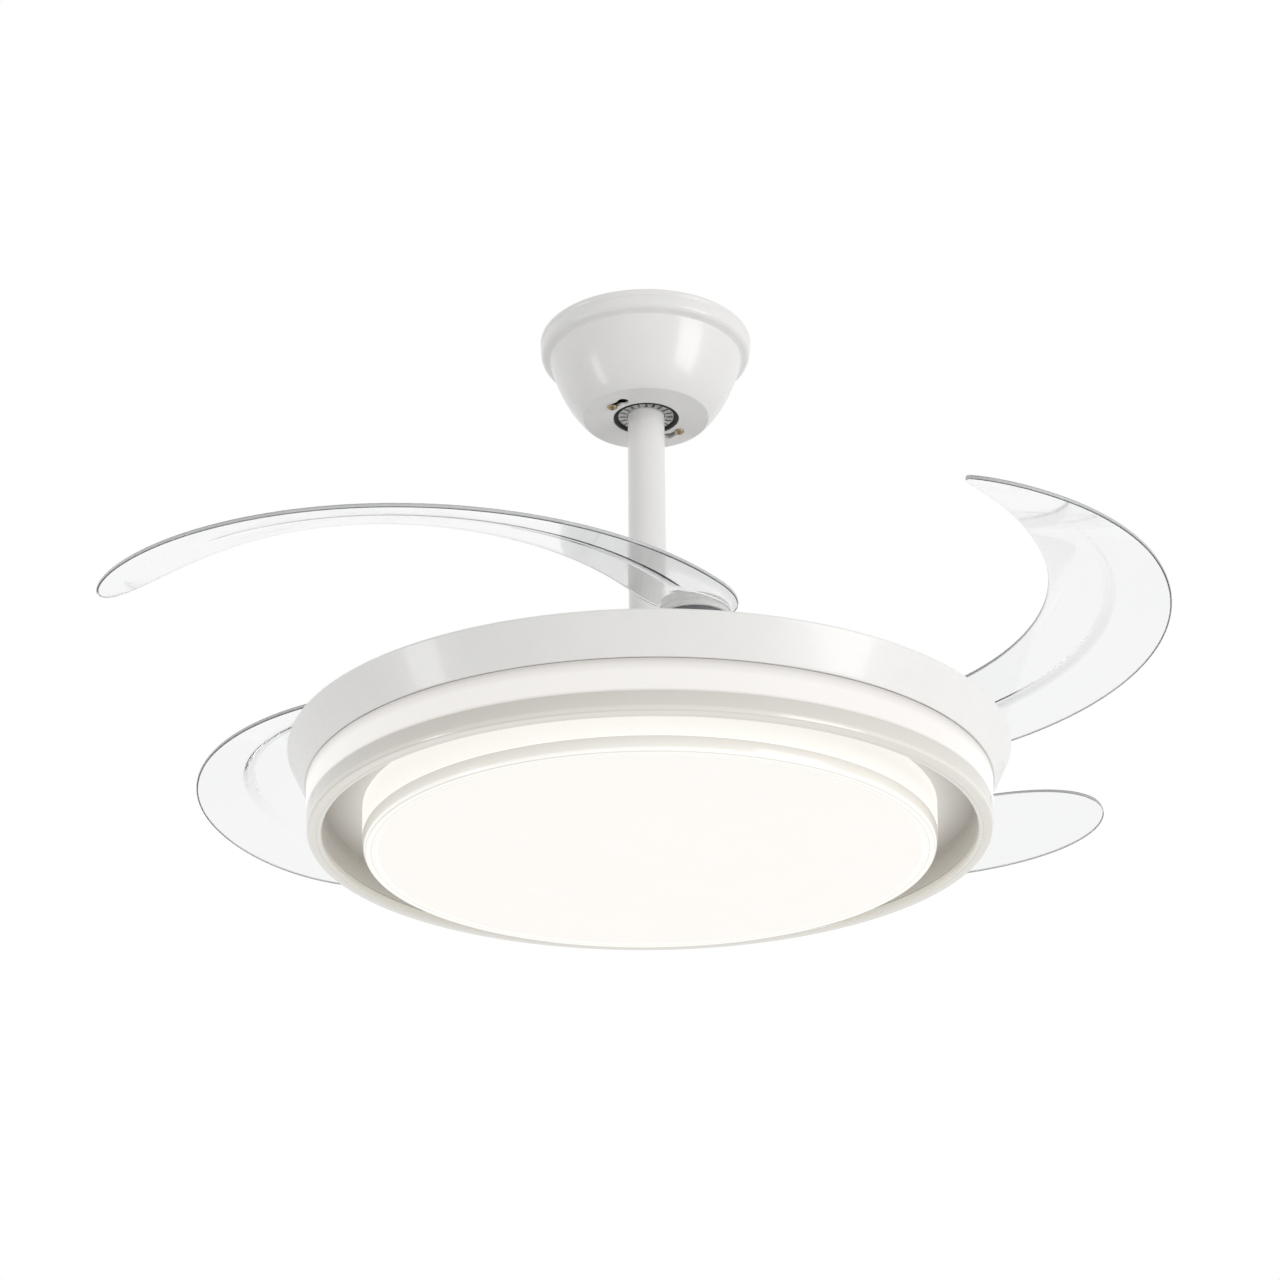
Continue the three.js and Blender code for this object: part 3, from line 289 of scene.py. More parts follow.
# The band round the main plate: the brightest and the whitest of the three.
OPAL_INNER = Finish("opal_acrylic_extruded_inner", "bab8b3", "b8b6b1", 0.32, Pattern.MOULDED, 30.0,
                    0.006, spread=0.03, ior=1.49, glow=0.68, lit="fffdf8")
# Zinc plating on rolled steel: a cool satin grey with rolling lines.
ZINC_STEEL = Finish("steel_zinc_plated", "c5c5c1", "aeb0ae", 0.34, Pattern.DRAWN, 0.8, 0.01,
                    spread=0.1, metallic=1.0)
# Bare steel from the lathe: bright, with rings round its axis.
TURNED_STEEL = Finish("steel_turned", "b7b8ba", "a3a5a8", 0.28, Pattern.TURNED, 0.5, 0.01,
                      spread=0.1, metallic=1.0)
# Die cast aluminium, blasted: a soft sparkle over cloudy pale grey.
CAST_ALUMINIUM = Finish("aluminium_cast_blasted", "c6c8ca", "b3b6b9", 0.46, Pattern.CAST, 1.1, 0.05,
                        spread=0.1, metallic=0.9)
# Brass plating on steel screws: a dull warm metal that has lost its polish.
BRASS = Finish("brass_plated_steel_turned", "b8a98c", "9c8c6c", 0.3, Pattern.TURNED, 0.4, 0.01,
               spread=0.08, metallic=1.0)
# Enamelled copper wire in a winding: red brown lines, each as wide as a wire.
COPPER = Finish("copper_wire_wound", "a8643c", "8a4e2d", 0.4, Pattern.DRAWN, 0.7, 0.08, spread=0.1,
                metallic=1.0)
# Nylon, injection moulded for gears: a dry dark grey with a faint mould grain.
DARK_NYLON = Finish("dark_nylon_moulded", "47494c", "3f4144", 0.5, Pattern.MOULDED, 1.5, 0.02)
# The same nylon in a middle grey, for the collars under the hubs: a darker band put there as painted
# shade for the shadow beneath each hub.
HUB_SHADE_NYLON = Finish("grey_nylon_moulded_painted_shade", "6c6e71", "646669", 0.45, Pattern.MOULDED, 1.5, 0.02)
# Undyed nylon: a slightly yellow white with a low gloss.
WHITE_NYLON = Finish("white_nylon_moulded", "e6e5e1", "dedcd7", 0.45, Pattern.MOULDED, 1.5, 0.02)
# Vulcanised rubber: black and dull, with the dusty grain of its mould.
RUBBER = Finish("black_rubber_moulded", "1b1b1c", "232324", 0.75, Pattern.MOULDED, 0.8, 0.03)
# White solder mask over glass cloth: a flat white with the cloth's run just showing.
BOARD = Finish("circuit_board_solder_mask", "e9ebe8", "dfe2de", 0.42, Pattern.DRAWN, 1.2, 0.01)


# ---------------------------------------------------------------------------- mesh making
def add_piece(name: str, mesh: bpy.types.Mesh) -> bpy.types.Object:
    """Puts a mesh into the scene.

    Args:
        name: name of the piece.
        mesh: its mesh.

    Returns:
        The new object.
    """
    obj = bpy.data.objects.new(name, mesh)
    bpy.context.scene.collection.objects.link(obj)
    return obj


def from_form(name: str, form: bmesh.types.BMesh) -> bpy.types.Object:
    """Ends a mesh under construction and puts it into the scene.

    Args:
        name: name of the piece.
        form: the mesh, which is freed.

    Returns:
        The new object.
    """
    mesh = bpy.data.meshes.new(name)
    form.to_mesh(mesh)
    form.free()
    return add_piece(name, mesh)


def closed_piece(name: str, points: Sequence[tuple[float, float, float]],
                 faces: Sequence[tuple[int, ...]], tones: Sequence[float] = ()) -> bpy.types.Object:
    """Makes a closed piece and turns its faces outwards.

    Args:
        name: name of the piece.
        points: its points, in metres.
        faces: point numbers of each face.
        tones: a tone for each point, where the finish uses one.

    Returns:
        The new object.
    """
    mesh = bpy.data.meshes.new(name)
    mesh.from_pydata(points, [], faces)
    if tones:
        mesh.attributes.new("tone", "FLOAT", "POINT").data.foreach_set("value", tones)
    form = bmesh.new()
    form.from_mesh(mesh)
    bpy.data.meshes.remove(mesh)
    bmesh.ops.remove_doubles(form, verts=form.verts, dist=SAME_POINT)
    bmesh.ops.dissolve_degenerate(form, edges=form.edges, dist=SLIVER)
    bmesh.ops.recalc_face_normals(form, faces=form.faces)
    return from_form(name, form)


def smooth(obj: bpy.types.Object, sharp: float = 38.0) -> None:
    """Shades a piece smooth and keeps its flats flat.

    Args:
        obj: the piece.
        sharp: angle in degrees from which an edge stays sharp.
    """
    obj.data.shade_smooth()
    obj.data.set_sharp_from_angle(angle=math.radians(sharp))
    weighted = obj.modifiers.new("flat faces stay flat", "WEIGHTED_NORMAL")
    weighted.keep_sharp = True


def rounded(profile: Sequence[TonePoint], radius: float, steps: int = 3) -> list[TonePoint]:
    """Rounds the corners of a closed outline.

    Args:
        profile: corner points; what follows their two places is kept.
        radius: how far from a corner its curve starts.
        steps: pieces in a curve.

    Returns:
        The outline with each corner drawn as a short curve.
    """
    straight, longest = 165, 0.45  # degrees taken as no corner; share of a side that a curve may take
    count = len(profile)
    result: list[TonePoint] = []
    for i, corner in enumerate(profile):
        here = np.array(corner[:2], float)
        before = np.array(profile[i - 1][:2], float) - here
        after = np.array(profile[(i + 1) % count][:2], float) - here
        sides = [np.linalg.norm(before), np.linalg.norm(after)]
        turn = abs(math.degrees(math.atan2(before[0] * after[1] - before[1] * after[0],
                                           float(before @ after))))
        if corner[0] <= 0 or turn > straight:
            result.append(corner)
            continue
        reach = [min(radius, side * longest) for side in sides]
        start = here + before / sides[0] * reach[0]
        end = here + after / sides[1] * reach[1]
        for k in range(steps + 1):
            t = k / steps
            point = (1 - t) ** 2 * start + 2 * t * (1 - t) * here + t ** 2 * end
            result.append((float(point[0]), float(point[1]), *corner[2:]))
    return result


def lathe(name: str, profile: Sequence[TonePoint], edge: float = 0.4, segments: int = 144,
          height: float = 0.0) -> bpy.types.Object:
    """Spins a closed outline round Z.

    Args:
        name: piece name.
        profile: radius and height points in millimetres, each with a tone where it has one.
        edge: rounding of the corners in millimetres.
        segments: steps round the axis.
        height: added to every height, in millimetres.

    Returns:
        The closed, smooth piece.
    """
    line = rounded(profile, edge)
    tones = [point[2] if len(point) > 2 else 0.0 for point in line]
    count = len(line)
    angles = [2 * math.pi * k / segments for k in range(segments)]
    points = [(r * MM * math.cos(a), r * MM * math.sin(a), (z + height) * MM)
              for a in angles for r, z, *_ in line]
    faces = []
    for k in range(segments):
        here, ahead = k * count, (k + 1) % segments * count
        for i in range(count):
            j = (i + 1) % count
            faces.append((here + i, ahead + i, ahead + j, here + j))
    piece = closed_piece(name, points, faces, tones * segments)
    smooth(piece)
    return piece


def prism(outline: Sequence[Point], low: float, high: float) -> bmesh.types.BMesh:
    """Raises a flat outline into a closed block.

    Args:
        outline: corner points in millimetres.
        low: height of the block's base in millimetres.
        high: height of its top.

    Returns:
        The block under construction, in metres.
    """
    form = bmesh.new()
    base = [form.verts.new((x * MM, y * MM, low * MM)) for x, y in outline]
    top = [form.verts.new((x * MM, y * MM, high * MM)) for x, y in outline]
    form.faces.new(base[::-1])
    form.faces.new(top)
    for i in range(len(outline)):
        j = (i + 1) % len(outline)
        form.faces.new((base[i], base[j], top[j], top[i]))
    bmesh.ops.recalc_face_normals(form, faces=form.faces)
    return form


def arc_points(centre: Point, radius: float, start: float, end: float, steps: int) -> list[Point]:
    """Points on an arc, both ends included."""
    turns = [start + (end - start) * k / steps for k in range(steps + 1)]
    return [(centre[0] + radius * math.cos(t), centre[1] + radius * math.sin(t)) for t in turns]


def capsule(start: Point, end: Point, radius: float, steps: int = 12) -> list[Point]:
    """Outline of a slot with round ends between two points."""
    lean = math.atan2(end[1] - start[1], end[0] - start[0])
    return (arc_points(end, radius, lean - QUARTER, lean + QUARTER, steps)
            + arc_points(start, radius, lean + QUARTER, lean + 3 * QUARTER, steps))


def round_bar(radius: float, low: float, high: float, steps: int = 48) -> bmesh.types.BMesh:
    """A plain round tool along Z."""
    last = 2 * math.pi * (steps - 1) / steps
    return prism(arc_points((0, 0), radius, 0, last, steps - 1), low, high)


def placed(form: bmesh.types.BMesh, matrix: Matrix) -> bmesh.types.BMesh:
    """Moves a mesh under construction."""
    form.transform(matrix)
    return form


def move(x: float, y: float, z: float) -> Matrix:
    """A shift in millimetres."""
    return Matrix.Translation((x * MM, y * MM, z * MM))


def spin(angle: float, axis: str = "Z") -> Matrix:
    """A turn in radians about an axis through the origin."""
    return Matrix.Rotation(angle, 4, axis)


def break_edges(obj: bpy.types.Object, width: float, angle: float = 40.0) -> None:
    """Adds a small bevel to the sharp edges of a piece.

    Args:
        obj: the piece.
        width: width of the bevel in millimetres.
        angle: edges that turn by more than this, in degrees, are sharp.
    """
    bevel = obj.modifiers.new("broken edges", "BEVEL")
    bevel.width = width * MM
    bevel.segments = 2
    bevel.limit_method = "ANGLE"
    bevel.angle_limit = math.radians(angle)
    bevel.use_clamp_overlap = True


def join_and_cut(obj: bpy.types.Object, tools: Iterable[Tool], bevel: float = 0.25) -> None:
    """Joins solids to a piece or cuts them from it, then breaks the new edges.

    Args:
        obj: piece to change.
        tools: what is joined or cut, in order.
        bevel: width of the broken edges in millimetres; zero leaves them.
    """
    helpers = []
    obj.modifiers.clear()
    for operation, form in tools:
        helpers.append(from_form("tool", form))
        step = obj.modifiers.new("shape", "BOOLEAN")
        step.operation = operation
        step.solver = "EXACT"
        step.object = helpers[-1]
    depsgraph = bpy.context.evaluated_depsgraph_get()
    made = bpy.data.meshes.new_from_object(obj.evaluated_get(depsgraph))
    obj.modifiers.clear()
    obj.data = made
    for helper in helpers:
        bpy.data.objects.remove(helper)
    if bevel:
        break_edges(obj, bevel)
    smooth(obj)


def dress(obj: bpy.types.Object, finish: Finish, body: str, slot: str, *nodes: str) -> None:
    """Gives a piece its finish and body and hides the nodes that it stands for.

    Args:
        obj: the piece.
        finish: its material.
        body: body that it moves with.
        slot: material slot of the record; not used.
        nodes: nodes that it replaces.
    """
    obj.data.materials.clear()
    obj.data.materials.append(finish.build())
    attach(obj, body)
    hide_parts(*nodes)
    LOG.info("%s on %s", obj.name, body)


def offset(rows: Sequence[TonePoint], radius: float, height: float) -> list[TonePoint]:
    """Places a drawn profile, whose rows go inwards from a radius and up from a height."""
    return [(radius - inward, height + up, *tone) for inward, up, *tone in rows]


def ring_of(operation: str, form: bmesh.types.BMesh, count: int, phase: float = 0.0) -> list[Tool]:
    """Gives a tool many times, evenly spaced round Z.

    Args:
        operation: UNION or DIFFERENCE.
        form: the tool, which is freed.
        count: how many there are.
        phase: angle of the first, in radians.

    Returns:
        The tools in order.
    """
    turns = [phase + 2 * math.pi * k / count for k in range(count)]
    tools = [(operation, placed(form.copy(), spin(turn))) for turn in turns]
    form.free()
    return tools


# ---------------------------------------------------------------------------- ceiling mount
@dataclass
class CeilingMount:
    """Canopy, its screws and the ring round the ball. Heights are below the ceiling."""

    body: str = "ceiling_mount"
    rim: float = 78.0
    lip: float = 14.0
    step: float = 72.0
    base: float = 46.0
    height: float = 63.7
    wall: float = 1.8
    hole: float = 24.0
    fullness: float = 10.5  # how far the bell's curve is drawn in at its fullest
    fullest: float = 0.76  # share of the height at which that is
    bead: Profile = ((0, 0), (0, -2.6), (1.1, -3.8), (0.5, -5.0), (0.2, -6.4))  # under the ceiling
    lip_foot: Profile = ((0.6, 4.0), (1.4, 1.6), (3.0, 0))  # at the lip's lower edge
    screw_circle: float = 31.0
    turn: float = math.radians(37)
    keyhole_turn: float = math.radians(20)
    keyhole_wide: float = 4.2
    keyhole_narrow: float = 2.7
    screw_crown: Profile = ((0, -1.9), (1.6, -1.85), (2.9, -1.3), (3.6, -0.5), (3.6, 0))
    screw_shank: float = 2.0
    screw_reach: float = 10.0
    recess_reach: float = 1.7
    recess_half: float = 0.35
    recess_floor: float = 0.9
    recess_turn: float = 0.4
    ball_base: float = 62.0  # underside of the ball
    ring_wall: float = 3.0

    def bell(self, inset: float, steps: int) -> list[Point]:
        """The curve from under the lip to the flat underside.

        Args:
            inset: how far inside the outer face it runs, in millimetres.
            steps: pieces in the curve.

        Returns:
            Its points, from the lip down.
        """
        start = np.array([self.step - 1 - inset, -self.lip - 2])
        pull = np.array([self.step - self.fullness - inset, -self.height * self.fullest + inset])
        end = np.array([self.base - inset, -self.height + inset])
        shares = [k / steps for k in range(steps + 1)]
        points = [(1 - t) ** 2 * start + 2 * t * (1 - t) * pull + t ** 2 * end for t in shares]
        return [(float(p[0]), float(p[1])) for p in points]

    def keyhole(self, angle: float) -> list[Tool]:
        """Tools for one keyhole: a bent slot and the wide end that a screw head passes.

        Args:
            angle: where its narrow end is, in radians.

        Returns:
            The tools in order.
        """
        pitch = self.screw_circle
        end = angle + self.keyhole_turn
        slot = (arc_points((0, 0), pitch + self.keyhole_narrow, angle, end, 10)
                + arc_points((0, 0), pitch - self.keyhole_narrow, end, angle, 10))
        low, high = -self.height - 2, -self.height + self.wall + 2
        tools = [prism(slot, low, high)]
        for at, radius in ((angle, self.keyhole_narrow), (end, self.keyhole_wide)):
            place = move(pitch * math.cos(at), pitch * math.sin(at), 0)
            tools.append(placed(round_bar(radius, low, high), place))
        return [("DIFFERENCE", tool) for tool in tools]

    def canopy(self) -> None:
        """Spun bell with a beaded lip and two keyholes."""
        inside = self.rim - self.wall
        outline = [*offset(self.bead, self.rim, 0), *offset(self.lip_foot, self.rim, -self.lip),
                   (self.step + 1.0, -self.lip - 0.9), *self.bell(0, 18), (self.hole, -self.height),
                   (self.hole, -self.height + self.wall), *self.bell(self.wall, 14)[::-1],
                   (inside - 1.4, -self.lip + 2), (inside, 0)]
        shell = lathe("canopy_shell", outline, edge=0.6, segments=160)
        cuts = [tool for angle in (self.turn, self.turn + math.pi) for tool in self.keyhole(angle)]
        join_and_cut(shell, cuts, bevel=0.3)
        dress(shell, WHITE_ENAMEL, self.body, "white_paint", "canopy")

    def screw(self, number: int, angle: float) -> None:
        """Pan head screw with a cross recess, at the narrow end of its keyhole.

        Args:
            number: the screw's number.
            angle: where it stands, in radians.
        """
        face = -self.height - GAP
        outline = [*((r, face + z) for r, z in self.screw_crown), (self.screw_shank, face),
                   (self.screw_shank, face + self.screw_reach), (0, face + self.screw_reach)]
        head = lathe(f"canopy_screw_head_{number}", outline, edge=0.2, segments=40)
        x, y = self.recess_reach, self.recess_half
        arms = []
        for lean in (self.recess_turn, self.recess_turn + QUARTER):
            bar = prism([(-x, -y), (x, -y), (x, y), (-x, y)], face - 3, face - self.recess_floor)
            arms.append(("DIFFERENCE", placed(bar, spin(lean))))
        join_and_cut(head, arms, bevel=0.08)
        pitch = self.screw_circle
        head.data.transform(move(pitch * math.cos(angle), pitch * math.sin(angle), 0))
        dress(head, BRASS, self.body, "brass", f"canopy_screw_{number}")

    def gasket(self) -> None:
        """Soft ring that hides the gap round the ball."""
        outer = self.hole - GAP
        high = -self.ball_base + 0.6
        inner, low = outer - self.ring_wall, -self.height + 0.2
        outline = [(inner, low + 1.2), (inner + 0.8, low), (outer, low), (outer, high), (inner, high)]
        dress(lathe("ball_ring", outline, edge=0.7), RUBBER, self.body, "black_rubber", "ball_gasket")

    def build(self) -> None:
        """Makes the pieces in order."""
        self.canopy()
        for number, angle in ((1, self.turn), (2, self.turn + math.pi)):
            self.screw(number, angle)
        self.gasket()


# --------------------------------------------------------------------------------- downrod
@dataclass
class Hanger:
    """Ball, downrod and coupling. Heights are above the drum's edge."""

    body: str = "hanging_frame"
    ball_radius: float = 26.0
    ball_height: float = DROP - 46
    ball_top: float = 12.0
    ball_base: float = 16.0
    ribs: int = 20  # grooves that leave as many ribs round the rod
    groove_half: float = 0.8
    groove_depth: float = 1.6
    rod_radius: float = 13.5
    rod_bore: float = 11.5
    rod_top: float = DROP - 28
    rod_sunk: float = 12.0  # how far the coupling holds the rod
    pin: float = 3.0
    pin_sunk: float = 0.6  # share of its radius that the ball's pin lies under the ball's top
    coupling_radius: float = 21.0
    coupling_base: float = 57.0
    coupling_top: float = 96.0
    coupling_pin_drop: float = 12.0
    shaft: float = 9.0

    def cross_hole(self, height: float) -> Tool:
        """Tool for a pin's hole across the rod, at a height."""
        bar = placed(round_bar(self.pin + GAP, -40, 40, 24), spin(QUARTER, "Y"))
        return "DIFFERENCE", placed(bar, move(0, 0, height - DROP))

    def ball(self) -> None:
        """Truncated ball with ribs round its underside."""
        radius, bore, level = self.ball_radius, self.rod_radius + GAP, self.ball_height - DROP
        low = math.asin(-self.ball_base / radius)
        high = math.asin(self.ball_top / radius)
        side = arc_points((0, 0), radius, low, high, 26)
        outline = [(bore, -self.ball_base), *side, (bore, self.ball_top)]
        piece = lathe("hanger_ball_cast", outline, edge=0.5, segments=120, height=level)
        reach, half = 40, self.pin + GAP
        seat = prism([(-reach, -half), (reach, -half), (reach, half), (-reach, half)],
                     -self.pin, self.pin)
        seat_height = level + self.ball_top - self.pin * self.pin_sunk
        flat = math.sqrt(radius ** 2 - self.ball_base ** 2)
        base = level - self.ball_base
        groove = prism(capsule((bore + 1.6, 0), (flat - 1.4, 0), self.groove_half, 4),
                       base - 1, base + self.groove_depth)
        cuts = [("DIFFERENCE", placed(seat, move(0, 0, seat_height))),
                *ring_of("DIFFERENCE", groove, self.ribs)]
        join_and_cut(piece, cuts, bevel=0.2)
        dress(piece, GREY_CASTING, self.body, "grey_paint", "hanger_ball")

    def rod(self) -> None:
        """Painted tube, drilled for its two pins."""
        base = self.coupling_base + self.rod_sunk
        outline = [(self.rod_bore, base), (self.rod_radius, base), (self.rod_radius, self.rod_top),
                   (self.rod_bore, self.rod_top)]
        tube = lathe("downrod_tube", outline, edge=0.5, segments=96, height=-DROP)
        upper = self.ball_height + self.ball_top - self.pin * self.pin_sunk + GAP
        lower = self.coupling_top - self.coupling_pin_drop
        join_and_cut(tube, [self.cross_hole(upper), self.cross_hole(lower)], bevel=0.2)
        dress(tube, WHITE_ENAMEL, self.body, "white_paint", "downrod")

    def coupling(self) -> None:
        """Steel collar that joins the rod to the motor's shaft."""
        radius, base, top = self.coupling_radius, self.coupling_base, self.coupling_top
        shelf, bore, neck = base + self.rod_sunk - GAP, self.shaft + GAP, self.rod_radius + GAP
        outline = [(bore, base), (radius - 5, base), (radius, base + 6), (radius, top - 3),
                   (radius - 2, top), (neck, top), (neck, shelf), (bore, shelf)]
        collar = lathe("rod_coupling_collar", outline, edge=0.8, segments=96, height=-DROP)
        join_and_cut(collar, [self.cross_hole(top - self.coupling_pin_drop)], bevel=0.3)
        dress(collar, ZINC_STEEL, self.body, "zinc_steel", "rod_coupling")

    def build(self) -> None:
        """Makes the pieces in order."""
        self.ball()
        self.rod()
        self.coupling()


# ------------------------------------------------------------------------------------ lamp
@dataclass
class Lamp:
    """Drum and the lit rings under it. Heights are above the drum's edge."""

    body: str = "hanging_frame"
    radius: float = 250.0
    height: float = 27.0
    draft: float = 12.8
    wall: float = 1.5
    recess: float = 2.0
    rolled_edge: Profile = ((2.0, 0), (0.4, -0.4), (0, -1.8))
    top_bead: tuple[float, ...] = (0.62, 0.64, 0.66)  # shares of the radius
    bead_depth: float = 2.0
    band_height: float = 21.3
    band_wall: float = 4.0
    ring_height: float = 13.5
    ring_width: float = 10.0
    ring_foot: float = 4.5
    trough_width: float = 27.0
    trough_depth: float = 22.0
    rim_height: float = 10.2
    rim_shelf: float = 3.6
    flange: float = 9.0
    disc_drop: float = 10.6
    disc_thick: float = 2.6
    lean: float = 0.6  # how far the inner band's foot stands in from its top
    sheet: float = 1.5
    shaft: float = 9.0
    round_steps: int = 224
    # The feet's grooves and edges, with fine lines of painted shade along them: in from a radius, up
    # from the foot, and a tone.
    foot_outside: Profile = ((-0.5, 4.5, 0.62), (-0.3, 3.0, 0.35), (-0.1, 1.6, 0.3), (0.4, 0.7, 0.6),
                             (1.0, 0.1, 0.1), (2.4, 0, 0), (4.6, 0, 0.04))
    foot_inside: Profile = ((-3.6, 0, 0.1), (-3.2, 0.3, 0.5), (-2.8, 0, 0.05), (-1.2, 0, 0),
                            (-0.8, 0.3, 0.4), (-0.3, 0.5, 0.05), (0, 1.2, 0.25))
    rim_foot: Profile = ((0.8, 3.4, 0.3), (1.2, 1.8, 0.05), (1.7, 0.9, 0), (2.2, 0.2, 0.45),
                         (2.8, 0, 0.1), (4.4, 0, 0), (5.6, 0, 0.02), (6.2, 0.3, 0.35),
                         (6.8, 0, 0.05))

    def __post_init__(self) -> None:
        """Works out the levels and radii that follow from the sizes."""
        self.lower = self.radius - self.draft
        self.band_outer = self.lower - 1
        self.band_top = -self.height - GAP
        self.band_base = self.band_top - self.band_height
        self.ring_base = self.band_base - self.ring_height
        self.ring_outer = self.band_outer - 2
        self.ring_inner = self.ring_outer - self.ring_width
        self.disc_outer = self.ring_inner - self.trough_width
        self.disc_base = self.ring_base - self.disc_drop
        self.rim_top = self.disc_base + self.rim_height
        self.rim_outer = self.disc_outer - self.lean
        self.roof = self.ring_base + self.trough_depth

    def turn(self, name: str, outline: Sequence[TonePoint], edge: float, finish: Finish, slot: str,
             node: str) -> None:
        """Spins one ring of the lamp and dresses it.

        Args:
            name: name of the piece.
            outline: radius and height points, each with a tone where it has one.
            edge: rounding of the corners in millimetres.
            finish: its material.
            slot: material slot of the record.
            node: node that it replaces.
        """
        piece = lathe(name, outline, edge, self.round_steps, -DROP)
        dress(piece, finish, self.body, slot, node)

    def drum(self) -> None:
        """Pressed shell with a rolled edge and a stiffening bead in its top plate."""
        r, lower, hole = self.radius, self.lower, self.shaft + GAP
        top, base, foot = -self.recess, -self.recess - self.wall, -self.height
        inside, middle, outside = (r * share for share in self.top_bead)
        outline = [*offset(self.rolled_edge, r, 0), (lower + 0.9, foot + 1.6), (lower, foot),
                   (lower - self.wall, foot), (r - self.wall - 1.4, base),
                   (outside, base), (middle, base - self.bead_depth), (inside, base), (hole, base),
                   (hole, top), (inside, top), (middle, top - self.bead_depth), (outside, top),
                   (r - 5, top), (r - 3.4, -0.6)]
        self.turn("drum_pressing", outline, 0.5, WHITE_ENAMEL, "white_paint", "drum_shell")

    def bands(self) -> None:
        """Two lit bands: one under the drum and one round the inner disc."""
        outer, wall, top, fall = self.band_outer, self.band_wall, self.band_top, self.band_height
        base = self.band_base + GAP
        outline = [(outer - wall, top, 0.7), (outer, top, 0.7), (outer - 0.3, top - fall * 0.16, 0.3),
                   (outer - 0.6, top - fall * 0.38, 0), (outer - 1.1, base + 1.5, 0),
                   (outer - 1.2, base, 0.25), (outer - wall - 1.2, base, 0)]
        self.turn("outer_light_band", outline, 0.5, OPAL_OUTER, "opal_plastic", "outer_band")
        high, low = self.roof - GAP, self.rim_top + GAP
        outline = [(self.disc_outer - wall, high), (self.disc_outer, high), (self.rim_outer, low),
                   (self.rim_outer - wall, low)]
        self.turn("inner_light_band", outline, 0.5, OPAL_INNER, "opal_plastic", "inner_band")

    def rings(self) -> None:
        """Two clear rings: the outer one's foot and the rim that holds the main diffuser."""
        shoulder, base, wall = self.band_outer - 1.2, self.ring_base, self.band_wall
        foot = base + self.ring_foot
        # The tones paint each ring's side grey and its foot white, with fine grey lines: painted shade.
        outline = [(shoulder - wall, self.band_base, 0.3), (shoulder, self.band_base, 0.75),
                   *offset(self.foot_outside, self.ring_outer, base),
                   *offset(self.foot_inside, self.ring_inner, base),
                   (self.ring_inner, foot, 0.4), (shoulder - wall, foot, 0.4)]
        self.turn("outer_clear_ring", outline, 0.25, CLEAR_RING, "clear_plastic", "outer_ring")
        r, shelf = self.rim_outer, self.disc_base + self.rim_shelf
        outline = [(r - wall, self.rim_top, 0.2), (r, self.rim_top, 0.42),
                   *offset(self.rim_foot, r, self.disc_base),
                   (r - self.flange, self.disc_base, 0.12), (r - self.flange, shelf, 0.4),
                   (r - wall, shelf, 0.4)]
        self.turn("inner_clear_rim", outline, 0.25, CLEAR_RIM, "clear_plastic", "inner_rim")

    def channel(self) -> None:
        """Grey channel between the two lit rings, open downwards."""
        inner, outer = self.rim_outer - self.band_wall, self.ring_inner + self.sheet
        low, high = self.ring_base + self.ring_foot + GAP, self.band_top + 0.2 - GAP
        roof, cover = self.roof, self.roof + self.sheet
        # The tones paint the channel grey on its outer wall and the outer part of its roof, and near
        # white on the roof beside the inner lit band, as painted light from that band.
        outline = [(self.ring_inner, low, 0.75), (outer, low, 0.75), (outer, high, 1),
                   (self.ring_inner, high, 1), (self.ring_inner, cover, 1), (inner, cover, 1),
                   (inner, roof, 0), (inner + 8, roof, 0.15), (inner + 18, roof, 0.6),
                   (self.ring_inner, roof, 1)]
        self.turn("channel_pressing", outline, 0.5, GREY_ENAMEL_BAND_LIGHT, "grey_paint", "trough")

    def diffuser(self) -> None:
        """Large opal plate, very slightly sunk in its rim."""
        edge, face = (self.rim_outer - width - GAP for width in (self.band_wall, self.flange))
        shelf, base = self.disc_base + self.rim_shelf + GAP, self.disc_base + 0.2
        back = shelf + self.disc_thick
        outline = [(0, base), (face * 0.5, base), (face - 1.6, base), (face, base + 1.6),
                   (face, shelf), (edge, shelf), (edge, back), (0, back)]
        self.turn("opal_plate", outline, 0.6, OPAL_SHEET, "opal_plastic", "main_diffuser")

    def build(self) -> None:
        """Makes the pieces in order."""
        self.drum()
        self.bands()
        self.rings()
        self.channel()
        self.diffuser()


